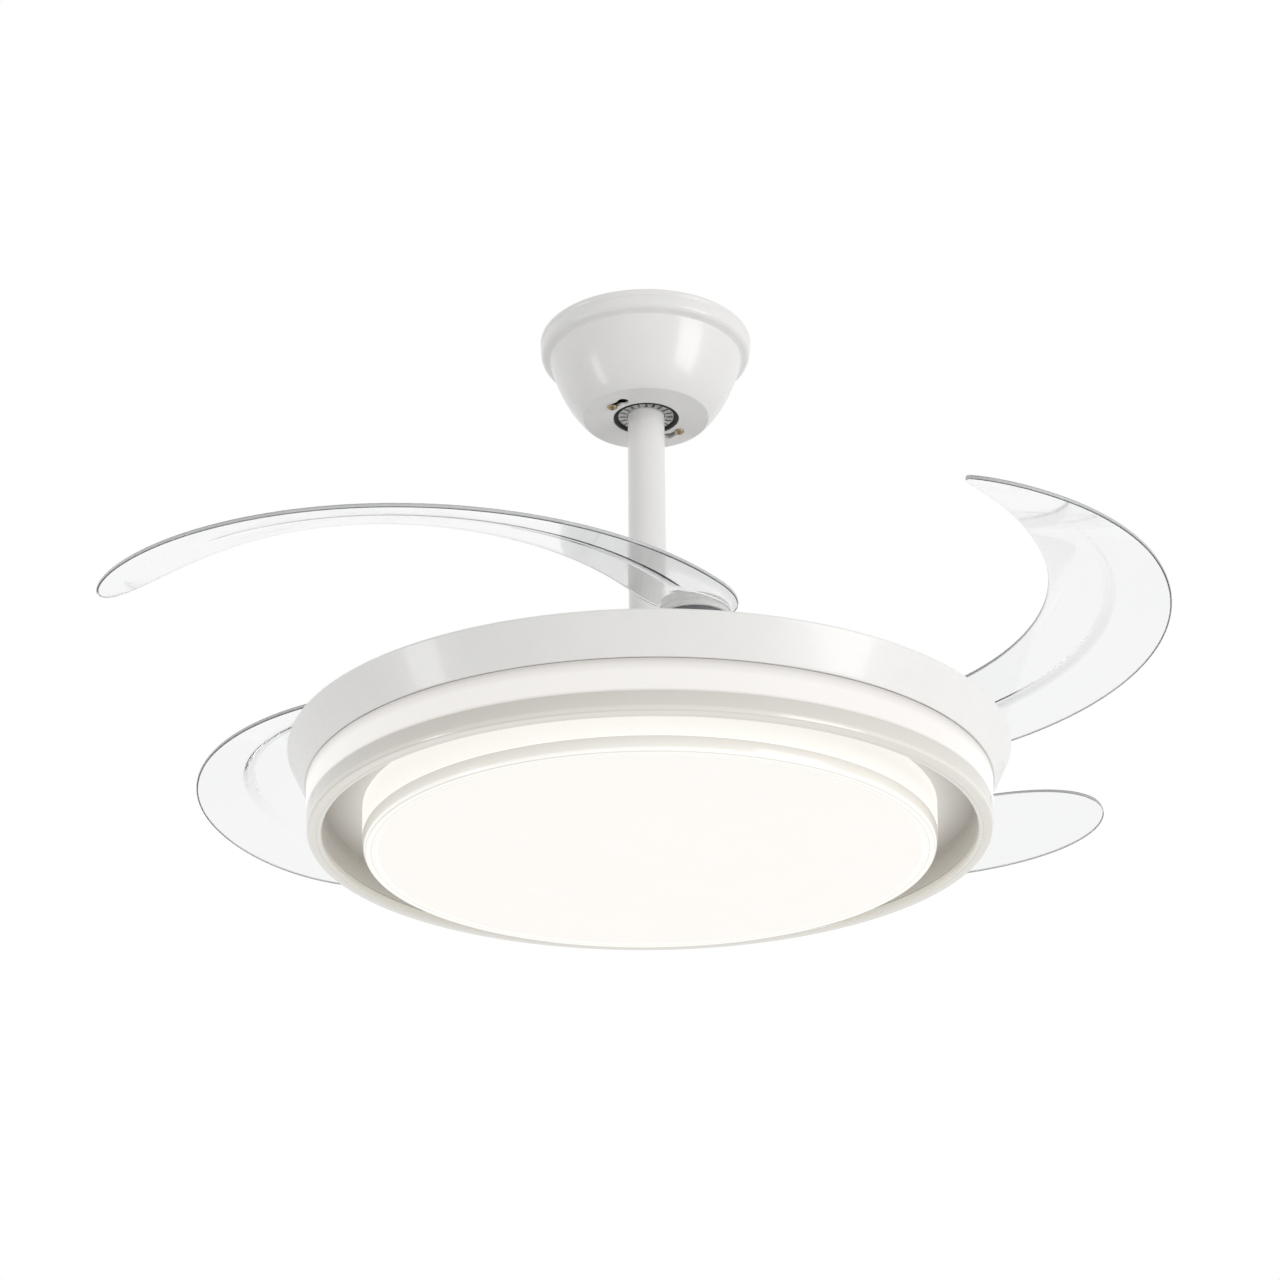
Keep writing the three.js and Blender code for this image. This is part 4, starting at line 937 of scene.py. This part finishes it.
# ----------------------------------------------------------------------------------- motor
@dataclass
class Motor:
    """The two halves of the turning motor case. Heights are above the drum's edge."""

    body: str = "rotor"
    radius: float = 84.0
    split: float = 30.0
    top: float = 52.0
    wall: float = 3.0
    crown: Profile = ((0, -12.0), (1.4, -9.0), (4.0, -7.0), (14.0, -4.0))  # in and down to the dome
    vents: int = 8
    vent_place: float = 0.6  # middle of a vent, as a share of the radius
    vent_reach: float = 10.5
    vent_half: float = 2.5
    seat: float = 17.3
    seat_lip: float = 3.0
    seat_wall: float = 4.0
    carrier_top: float = 7.0
    bearing: float = 7.0
    screws: int = 4
    screw_circle: float = 0.72  # share of the radius
    screw_hole: float = 2.8
    phase: float = math.radians(8.3)

    def upper(self) -> None:
        """Domed cover with radial cooling slots."""
        r, seat, top, low = self.radius, self.seat, self.top, self.split + GAP
        lip, hub = seat - self.seat_lip, seat + self.seat_wall
        bearing_base, lid = top - self.bearing - 1, top - 1 + GAP
        outline = [(r, low), *offset(self.crown, r, top), (seat + 5, top - 1), (hub, top + 1.5),
                   (lip, top + 1.5), (lip, lid), (seat, lid), (seat, bearing_base),
                   (hub, bearing_base), (hub, top - self.wall - 1), (r - 14, top - self.wall - 4),
                   (r - self.wall, top - 13), (r - self.wall, low)]
        cover = lathe("motor_cover", outline, edge=0.9, segments=144, height=-DROP)
        middle = r * self.vent_place
        slot = prism(capsule((middle - self.vent_reach, 0), (middle + self.vent_reach, 0),
                             self.vent_half), top - 12 - DROP, top + 6 - DROP)
        join_and_cut(cover, ring_of("DIFFERENCE", slot, self.vents, self.phase), bevel=0.5)
        dress(cover, CAST_ALUMINIUM, self.body, "aluminium_casting", "motor_upper_shell")

    def lower(self) -> None:
        """Pan that the blade carrier is screwed to."""
        r, seat, base = self.radius, self.seat, self.carrier_top + GAP
        lip, hub, floor = seat - self.seat_lip, seat + self.seat_wall, base + self.wall
        bearing_base = self.carrier_top + 1
        outline = [(lip, base), (r, base), (r, self.split), (r - self.wall, self.split),
                   (r - self.wall, floor), (hub, floor), (hub, bearing_base + self.bearing),
                   (seat, bearing_base + self.bearing), (seat, bearing_base - GAP),
                   (lip, bearing_base - GAP)]
        pan = lathe("motor_pan", outline, edge=0.6, segments=144, height=-DROP)
        hole = placed(round_bar(self.screw_hole, base - 1 - DROP, floor + 1 - DROP, 20),
                      move(r * self.screw_circle, 0, 0))
        holes = ring_of("DIFFERENCE", hole, self.screws, self.phase + math.pi / self.screws)
        join_and_cut(pan, holes, bevel=0.2)
        dress(pan, CAST_ALUMINIUM, self.body, "aluminium_casting", "motor_lower_shell")

    def build(self) -> None:
        """Makes the pieces in order."""
        self.upper()
        self.lower()


# ----------------------------------------------------------------------------------- drive
@dataclass
class Drive:
    """The gear that keeps the blades in step, and the spiral spring that folds them."""

    body: str = "sync_ring"
    teeth: int = 136
    pinion_teeth: int = 15
    module: float = 2.5
    pressure: float = math.radians(20)
    backlash: float = 0.5
    dedendum: float = 1.25  # in modules
    addendum: float = 0.95
    tip_break: float = 0.4  # height of a tooth's broken tip
    tip_share: float = 0.75  # how much of the tip's width the break leaves
    base: float = 8.0
    thick: float = 4.4
    bore: float = 85.5
    ring: float = 97.0  # outer edge of the inner ring
    rim: float = 158.75  # inner edge of the toothed rim
    window_round: float = 4.0
    spoke: float = 0.24  # half angle of a spoke at the rim
    flare: float = 1.6  # how much wider a spoke is at the inner ring
    folds: float = math.radians(54.5)
    spreads: float = math.radians(55.5)
    spare: float = 2.5  # teeth beyond those that are used
    phase: float = math.radians(8.3)
    rib: float = 1.1  # height of the ribs on the spokes
    rib_width: float = 1.6
    rib_place: float = 0.86  # share of the spoke's half angle
    rib_flare: float = 1.4
    rib_gaps: Point = (6.0, 4.0)  # from the inner ring and from the rim
    rib_sunk: float = 0.5
    wire: float = 1.5
    wire_round: float = 0.3
    turns: int = 3
    turn_steps: int = 96
    spring_inner: float = 86.75
    spring_outer: float = 95.42
    spring_height: float = 14.0
    peg: float = 2.4
    peg_reach: float = 5.0

    def __post_init__(self) -> None:
        """Works out the pitch radius."""
        self.pitch = self.module * self.teeth / 2

    def half_tooth(self, radius: float) -> float:
        """Half angle of a tooth at a radius.

        Args:
            radius: radius in millimetres.

        Returns:
            The angle in radians, by the involute through the pitch circle.
        """
        lean = math.acos(min(1.0, self.pitch * math.cos(self.pressure) / radius))
        width = (math.pi * self.module - self.backlash) / 4 / self.pitch
        return width + math.tan(self.pressure) - self.pressure - (math.tan(lean) - lean)

    def outline(self) -> list[Point]:
        """Draws the gear's outline, toothed only where the pinions roll.

        Returns:
            Its points in order.
        """
        root = self.pitch - self.dedendum * self.module
        tip = self.pitch + self.addendum * self.module
        flank = [(r, self.half_tooth(r)) for r in (root, self.pitch, tip - self.tip_break)]
        flank.append((tip, self.half_tooth(tip) * self.tip_share))
        step = 2 * math.pi / self.teeth
        rolled = self.pinion_teeth / self.teeth
        ahead, behind = (swing * rolled + self.spare * step for swing in (self.spreads, self.folds))
        points = []
        for k in range(self.teeth):
            middle = k * step
            place = (middle + QUARTER / 2) % QUARTER - QUARTER / 2
            if -behind < place < ahead:
                points += [(r, middle - half) for r, half in flank]
                points += [(r, middle + half) for r, half in flank[::-1]]
            else:
                points += [(root, middle - step / 4), (root, middle + step / 4)]
        return [(r * math.cos(a), r * math.sin(a)) for r, a in points]

    def window(self) -> list[TonePoint]:
        """Opening between two spokes."""
        wide = self.spoke * self.flare
        corners = (arc_points((0, 0), self.rim, self.spoke, QUARTER - self.spoke, 30)
                   + arc_points((0, 0), self.ring, QUARTER - wide, wide, 20))
        return rounded(corners, self.window_round)

    def gear(self) -> None:
        """Moulded gear with ribs along its spokes."""
        low, high = self.base - DROP, self.base + self.thick - DROP
        piece = from_form("sync_gear_moulded", prism(self.outline(), low, high))
        tools = [("DIFFERENCE", round_bar(self.bore, low - 1, high + 1, 120)),
                 *ring_of("DIFFERENCE", prism(self.window(), low - 1, high + 1), BLADES)]
        start, end = self.ring + self.rib_gaps[0], self.rim - self.rib_gaps[1]
        foot = high - self.rib_sunk
        for k in range(BLADES):
            for side in (-1, 0, 1):
                lean = side * self.spoke * self.rib_place
                inner, outer = ((r * math.cos(a), r * math.sin(a))
                                for r, a in ((start, lean * self.rib_flare), (end, lean)))
                bar = prism(capsule(inner, outer, self.rib_width / 2, 6), foot, high + self.rib)
                tools.append(("UNION", placed(bar, spin(k * QUARTER))))
        peg = placed(round_bar(self.peg, foot, high + self.peg_reach, 32),
                     move(self.spring_outer + self.wire / 2 + self.peg + GAP, 0, 0))
        join_and_cut(piece, [*tools, ("UNION", peg)], bevel=0.25)
        piece.data.transform(spin(self.phase))
        dress(piece, DARK_NYLON, self.body, "dark_nylon", "sync_gear")

    def spring(self) -> None:
        """Flat spiral of square wire, its edges broken."""
        steps, half = self.turn_steps * self.turns, self.wire / 2
        section = rounded([(-half, -half), (half, -half), (half, half), (-half, half)],
                          self.wire_round, 2)
        points, faces, count = [], [], len(section)
        for i in range(steps + 1):
            share = i / steps
            angle = 2 * math.pi * self.turns * (share - 1) + self.phase
            radius = self.spring_inner + (self.spring_outer - self.spring_inner) * share
            for across, up in section:
                points.append(((radius + across) * MM * math.cos(angle),
                               (radius + across) * MM * math.sin(angle),
                               (self.spring_height + up - DROP) * MM))
        for i in range(steps):
            for k in range(count):
                a, b = i * count + k, i * count + (k + 1) % count
                faces.append((a, b, b + count, a + count))
        faces += [tuple(range(count))[::-1], tuple(range(steps * count, (steps + 1) * count))]
        piece = closed_piece("return_spring_wound", points, faces)
        smooth(piece, 50.0)
        dress(piece, TURNED_STEEL, "rotor", "steel", "return_spring")

    def build(self) -> None:
        """Makes the pieces in order."""
        self.gear()
        self.spring()


# ---------------------------------------------------------------------------------- blades
@dataclass
class Blades:
    """Four clear blades on their hubs. A blade is laid out folded, round the fan's axis."""

    open_at_rest: float = math.radians(54.5)
    arc: float = math.radians(130)
    tail: float = math.radians(6)
    tail_round: float = 2.4
    tip_share: float = 0.33
    tip_blunt: float = 2.4
    width: float = 74.0
    flare: float = 8.0
    outset: float = 2.3
    sweep: float = 22.0
    hook: float = 6.0
    thick: float = 2.8
    low: float = 23.0
    climb: float = 13.5
    pitch: float = 16.8
    twist: float = 17.2
    rib_height: float = 0.8
    rib_start: float = 0.06  # shares of the arc: where the rib starts and ends
    rib_reach: float = 0.8
    rib_rise: float = 0.012  # how much of the arc it takes to rise, and to run out
    rib_fade: float = 0.3
    rib_half: float = 0.03  # shares of the width: the rib's half, and the ramp beside it
    rib_ramp: float = 0.022
    # Painted shade on the sheet: a faint grey line along the rib and grey rows at both ends.
    rib_painted_shade: float = 0.25
    end_rows: int = 2
    end_painted_shade: float = 0.8
    edge_round: float = 1.1  # the rim is rounded over this width
    edge_share: float = 0.25  # of the thickness that is left at its edge
    edge_fall: float = 2.2  # how fast the rim's tone falls over the rounding
    rows: int = 110
    hub_radius: float = 23.3
    hub_low: float = 16.0
    hub_gap: float = 0.2
    shade_collar_high: float = 20.8
    boss: float = 9.0
    bore: float = 5.4
    hub_side: Profile = ((0.8, 0), (0, 0.8), (0, 3.4), (0.5, 3.8), (0.5, 4.6), (0, 5.0))  # its groove
    pivots: dict[int, Vector] = field(default_factory=dict)

    def __post_init__(self) -> None:
        """Reads the pivots from the frame's joints."""
        for joint in frame["joints"]:
            if joint["name"].startswith("blade_swing_"):
                self.pivots[int(joint["name"][-1])] = Vector(joint["pos_m"])
        self.pivot_circle = self.pivots[1].xy.length / MM
        self.hub_high = self.low + self.pitch * (0.5 + self.outset / self.width) + GAP

    def section(self, along: float) -> tuple[float, float, float]:
        """Middle line and half width of the blade at a place along it.

        Args:
            along: the place, from -1 at the tail to 1 at the tip.

        Returns:
            Arc from the pivot, radius of the middle and half width.
        """
        arc = -self.tail + (self.arc + self.tail) * (along + 1) / 2
        turn = max(0.0, arc / self.arc)
        near = max(0.0, 1 - (arc + self.tail) / (self.tail_round * self.tail))
        far = min(1.0, max(0.0, 1 - (self.arc - arc) / (self.tip_share * self.arc)))
        ends = math.sqrt(max(0.0, 1 - near ** 2)) * math.sqrt(max(0.0, 1 - far ** self.tip_blunt))
        half = max(1.0, (self.width + self.flare * turn ** 2) / 2 * ends)
        centre = (self.pivot_circle + self.outset * (1 - near) + self.sweep * turn ** 2
                  + self.hook * far ** 2)
        return arc, centre, half

    def height(self, arc: float, radius: float) -> float:
        """Height of the sheet's middle over the drum's edge.

        Args:
            arc: arc from the pivot, in radians.
            radius: distance from the fan's axis, in millimetres.

        Returns:
            The height in millimetres.
        """
        turn = max(0.0, arc / self.arc)
        inward = 0.5 + (self.pivot_circle + self.outset - radius) / self.width
        return self.low + self.climb * turn + (self.pitch + self.twist * turn) * inward

    def across(self) -> list[float]:
        """Gives the places across the sheet, closer at the rims and at the rib.

        Returns:
            Shares of the width, from 0 to 1.
        """
        rim = [0.0, 0.004, 0.01, 0.02, 0.035]
        rib = [0.5 - self.rib_half - self.rib_ramp, 0.5 - self.rib_half, 0.5 - self.rib_half / 3]
        half = [*rim, 0.08, 0.14, 0.2, 0.26, 0.32, 0.38, 0.43, *rib]
        return [*half, *[1 - u for u in half[::-1]]]

    def rib(self, arc: float, u: float) -> float:
        """How far the stiffening rib stands up.

        Args:
            arc: arc from the pivot, in radians.
            u: share of the width.

        Returns:
            A share of its full height, from 0 to 1.
        """
        share = arc / self.arc
        ends = min((share - self.rib_start) / self.rib_rise, (self.rib_reach - share) / self.rib_fade)
        side = (self.rib_half + self.rib_ramp - abs(u - 0.5)) / self.rib_ramp
        return min(1.0, max(0.0, ends)) * min(1.0, max(0.0, side))

    def sheet(self) -> bpy.types.Object:
        """Makes the twisted sheet, with a tone of painted shade that is one at its rim.

        Returns:
            The sheet as one closed piece.
        """
        across = self.across()
        top, bottom, tones = [], [], []
        for i in range(self.rows + 1):
            arc, centre, half = self.section(-math.cos(math.pi * i / self.rows))
            # Tone of painted shade: faint along the rib, high in the end rows and one at the rim.
            faded = self.rib_painted_shade * max(0.0, 1 - arc / self.arc / self.rib_reach)
            end = self.end_painted_shade if min(i, self.rows - i) < self.end_rows else 0.0
            for u in across:
                radius, rib = centre + (2 * u - 1) * half, self.rib(arc, u)
                inside = min(min(u, 1 - u) * 2 * half, self.edge_round) / self.edge_round
                bulge = math.sqrt(1 - (1 - inside) ** 2)
                body = self.thick / 2 * (self.edge_share + (1 - self.edge_share) * bulge)
                x = (radius * math.cos(arc) - self.pivot_circle) * MM
                y = -radius * math.sin(arc) * MM
                z = self.height(arc, radius) - DROP
                top.append((x, y, (z + body + rib * self.rib_height) * MM))
                bottom.append((x, y, (z - body) * MM))
                tones.append(max(end, rib * faded, 1 - inside * self.edge_fall))
        count, width = len(top), len(across)
        faces = []
        for i in range(self.rows):
            for k in range(width - 1):
                a = i * width + k
                faces.append((a, a + 1, a + width + 1, a + width))
                faces.append((count + a, count + a + width, count + a + width + 1, count + a + 1))
            first, last = i * width, (i + 1) * width - 1
            faces.append((first, first + width, count + first + width, count + first))
            faces.append((last, count + last, count + last + width, last + width))
        for k in range(width - 1):
            end = self.rows * width + k
            faces.append((k, count + k, count + k + 1, k + 1))
            faces.append((end, end + 1, count + end + 1, count + end))
        return closed_piece("blade_sheet", top + bottom, faces, tones + tones)

    def pattern_blade(self) -> bpy.types.Object:
        """Makes one blade about its pivot, with the hole that its hub fills.

        Returns:
            The blade, folded.
        """
        blade = self.sheet()
        low, high = self.hub_low - DROP, self.hub_high - DROP
        bars = (round_bar(self.hub_radius + 8, low - 20, low, 64),
                round_bar(self.hub_radius, low - 1, high + self.hub_gap, 96),
                round_bar(self.boss + 3, high - 1, high + 30, 64))
        join_and_cut(blade, [("DIFFERENCE", bar) for bar in bars], bevel=0)
        return blade

    def placing(self, number: int) -> Matrix:
        """Where a pivot-centred piece stands, swung out as photographed.

        Args:
            number: the blade's number.

        Returns:
            Its place and turn.
        """
        pivot = self.pivots[number]
        turn = math.atan2(pivot.y, pivot.x) + self.open_at_rest
        return Matrix.Translation((pivot.x, pivot.y, 0)) @ spin(turn)

    def round_pieces(self, number: int) -> None:
        """Satin hub on a grey collar that closes it below and paints the shade under the hub, and a cap
        over the pivot pin.

        Args:
            number: the blade's number.
        """
        base, low, high = self.hub_low, self.shade_collar_high + GAP, self.hub_high
        r, cap, bore = self.hub_radius - self.hub_gap, high + GAP, self.boss + GAP
        hub = [(self.bore, low), *offset(self.hub_side, r, low), (r, high - 1.2), (r - 1.2, high),
               (self.bore, high)]
        collar = [(bore, base), (r - 1.6, base), (r - 1.0, base + 0.8), (r - 1.0, self.shade_collar_high),
                  (bore, self.shade_collar_high)]
        lid = [(0, cap), (self.boss + 2, cap), (self.boss + 2, cap + 1.2), (self.boss, cap + 2.4),
               (self.boss * 0.5, cap + 2.7), (0, cap + 2.8)]
        for name, line, edge, segments, finish, slot, node in (
                ("blade_hub", hub, 0.3, 96, SATIN_HUB, "clear_plastic", "blade"),
                ("hub_shade_collar", collar, 0.3, 96, HUB_SHADE_NYLON, "dark_nylon", "blade"),
                ("pivot_cap", lid, 0.4, 64, WHITE_NYLON, "white_nylon", "hub_cap")):
            piece = lathe(f"{name}_{number}", line, edge, segments, -DROP)
            piece.data.transform(self.placing(number))
            dress(piece, finish, f"blade_arm_{number}", slot, f"{node}_{number}")

    def build(self) -> None:
        """Copies the pattern blade to the four pivots."""
        pattern = self.pattern_blade()
        for number in sorted(self.pivots):
            blade = add_piece(f"clear_blade_{number}", pattern.data.copy())
            blade.data.transform(self.placing(number))
            smooth(blade, 32.0)
            dress(blade, CLEAR_BLADE, f"blade_arm_{number}", "clear_plastic", f"blade_{number}")
            self.round_pieces(number)
        bpy.data.objects.remove(pattern)


# ------------------------------------------------------------------------------- mechanism
@dataclass
class Mechanism:
    """Nodes whose shape is already right: they get a finish and broken edges."""

    edge: float = 0.3
    sharp: float = 50.0
    finishes: dict[str, Finish] = field(default_factory=lambda: {
        "hanger_bracket": ZINC_STEEL, "ball_pin": TURNED_STEEL, "coupling_pin": TURNED_STEEL,
        "coupling_set_screw": TURNED_STEEL, "motor_shaft": TURNED_STEEL, "shaft_nut": ZINC_STEEL,
        "motor_stator": COPPER, "lower_bearing": TURNED_STEEL, "upper_bearing": TURNED_STEEL,
        "lamp_chassis": WHITE_ENAMEL, "led_board_inner": BOARD, "led_board_outer": BOARD,
        "led_driver": WHITE_NYLON, "receiver_box": WHITE_NYLON, "blade_carrier": ZINC_STEEL})
    repeated: dict[str, Finish] = field(default_factory=lambda: {
        "blade_gear": DARK_NYLON, "pivot_pin": TURNED_STEEL, "carrier_screw": ZINC_STEEL})

    def build(self) -> None:
        """Dresses every node that is still shown."""
        chosen = dict(self.finishes)
        for stem, finish in self.repeated.items():
            chosen.update({f"{stem}_{k}": finish for k in range(1, BLADES + 1)})
        for name, finish in chosen.items():
            node = frame["nodes"][name]
            node.data.materials.clear()
            node.data.materials.append(finish.build())
            break_edges(node, self.edge, self.sharp)
            LOG.info("%s keeps its form", name)


# ---------------------------------------------------------------------------------- studio
@dataclass(frozen=True)
class SoftLamp:
    """One soft lamp that faces the fan, in metres and watts."""

    name: str
    place: tuple[float, float, float]
    size: Point  # width and height
    power: float


@dataclass
class Studio:
    """Camera, lamps and surroundings. The camera was worked out from the fan's circles."""

    picture: int = 1280
    focal: float = 2771.9  # in pixels of the picture
    sensor: float = 36.0
    place: Vector = field(default_factory=lambda: Vector((-0.023645, -1.788455, -1.055989)))
    pitch: float = 0.427
    yaw: float = 0.010
    roll: float = -0.008
    aim: Vector = field(default_factory=lambda: Vector((0, 0, -0.3)))
    lamps: tuple[SoftLamp, ...] = (
        SoftLamp("key", (2.3, -1.7, -0.7), (1.5, 1.5), 30.5),
        SoftLamp("left_strip", (-2.3, -0.8, -1.05), (0.45, 1.1), 6.5))
    ambient: float = 0.63
    floor_level: float = -2.7  # a room's height under the ceiling
    floor_size: float = 60.0
    floor_lift: float = 0.34  # light added to the floor as it is seen
    floor_roughness: float = 0.9
    floor_cells: float = 60.0  # cells of its mottling in a metre
    floor_colours: tuple[str, str] = ("f6f6f5", "f3f3f2")

    def camera(self) -> None:
        """Sets the camera at the photograph's place and angle."""
        lens = bpy.data.cameras.new("camera")
        lens.sensor_width = self.sensor
        lens.lens = self.focal / self.picture * self.sensor
        eye = bpy.data.objects.new("camera", lens)
        bpy.context.scene.collection.objects.link(eye)
        ahead = Vector((math.sin(self.yaw) * math.cos(self.pitch),
                        math.cos(self.yaw) * math.cos(self.pitch), math.sin(self.pitch)))
        level = Vector((math.cos(self.yaw), -math.sin(self.yaw), 0))
        above = level.cross(ahead)
        right = math.cos(self.roll) * level + math.sin(self.roll) * above
        up = -math.sin(self.roll) * level + math.cos(self.roll) * above
        axes = Matrix((right, up, -ahead)).transposed()
        eye.matrix_world = Matrix.Translation(self.place) @ axes.to_4x4()
        bpy.context.scene.camera = eye

    def hang(self, lamp: SoftLamp) -> None:
        """Adds one lamp, turned to the fan and out of the picture.

        Args:
            lamp: the lamp.
        """
        light = bpy.data.lights.new(lamp.name, "AREA")
        light.shape = "RECTANGLE"
        light.size, light.size_y = lamp.size
        light.energy = lamp.power
        obj = bpy.data.objects.new(lamp.name, light)
        obj.location = lamp.place
        obj.rotation_mode = "QUATERNION"
        obj.rotation_quaternion = (self.aim - Vector(lamp.place)).to_track_quat("-Z", "Y")
        obj.visible_camera = False
        bpy.context.scene.collection.objects.link(obj)

    @staticmethod
    def seen(tree: bpy.types.NodeTree) -> bpy.types.NodeSocket:
        """Tells the rays that show the background: straight, in gloss or through glass.

        Args:
            tree: node tree that asks.

        Returns:
            An output that is one for such rays and zero for the rest.
        """
        path = add_node(tree, "ShaderNodeLightPath").outputs
        first = add_node(tree, "ShaderNodeMath", {"operation": "MAXIMUM"},
                         {0: path["Is Camera Ray"], 1: path["Is Glossy Ray"]})
        both = add_node(tree, "ShaderNodeMath", {"operation": "MAXIMUM"},
                        {0: first.outputs[0], 1: path["Is Transmission Ray"]})
        return both.outputs[0]

    def surroundings(self) -> None:
        """White behind the fan, and a plainer, dimmer dome that lights it."""
        world = bpy.data.worlds.new("white_room")
        bpy.context.scene.world = world
        world.use_nodes = True
        tree = world.node_tree
        tree.nodes.clear()
        lit, shown = (add_node(tree, "ShaderNodeBackground",
                               inputs={"Color": (1, 1, 1, 1), "Strength": strength})
                      for strength in (self.ambient, 1.0))
        both = add_node(tree, "ShaderNodeMixShader",
                        inputs={0: self.seen(tree), 1: lit.outputs[0], 2: shown.outputs[0]})
        add_node(tree, "ShaderNodeOutputWorld", inputs={"Surface": both.outputs[0]})

    def floor(self) -> None:
        """Pale floor well below the fan."""
        half = self.floor_size / 2
        corners = [(-half, -half), (half, -half), (half, half), (-half, half)]
        mesh = bpy.data.meshes.new("floor")
        mesh.from_pydata([(x, y, self.floor_level) for x, y in corners], [], [(0, 1, 2, 3)])
        material = bpy.data.materials.new("floor_paint_matt")
        material.use_nodes = True
        tree = material.node_tree
        speckle = add_node(tree, "ShaderNodeTexNoise", inputs={"Scale": self.floor_cells, "Detail": 3.0})
        lift = add_node(tree, "ShaderNodeMath", {"operation": "MULTIPLY", "use_clamp": True},
                        {0: self.seen(tree), 1: self.floor_lift})
        paint = Finish.mix(tree, speckle.outputs["Fac"], *(linear(c) for c in self.floor_colours))
        for name, value in (("Roughness", self.floor_roughness), ("Base Color", paint),
                            ("Emission Color", (1, 1, 1, 1)), ("Emission Strength", lift.outputs[0])):
            feed(tree, tree.nodes["Principled BSDF"].inputs[name], value)
        mesh.materials.append(material)
        add_piece("floor", mesh)

    def build(self) -> None:
        """Makes the studio."""
        self.camera()
        for lamp in self.lamps:
            self.hang(lamp)
        self.surroundings()
        self.floor()
        bpy.context.scene.view_settings.view_transform = "Standard"


def main() -> None:
    """Builds the fan round the frame."""
    logging.basicConfig(level=logging.INFO, format="%(name)s: %(message)s")
    for part in (Studio(), CeilingMount(), Hanger(), Lamp(), Motor(), Drive(), Blades(),
                 Mechanism()):
        part.build()
        LOG.info("%s is ready", type(part).__name__)


if __name__ == "__main__":
    main()
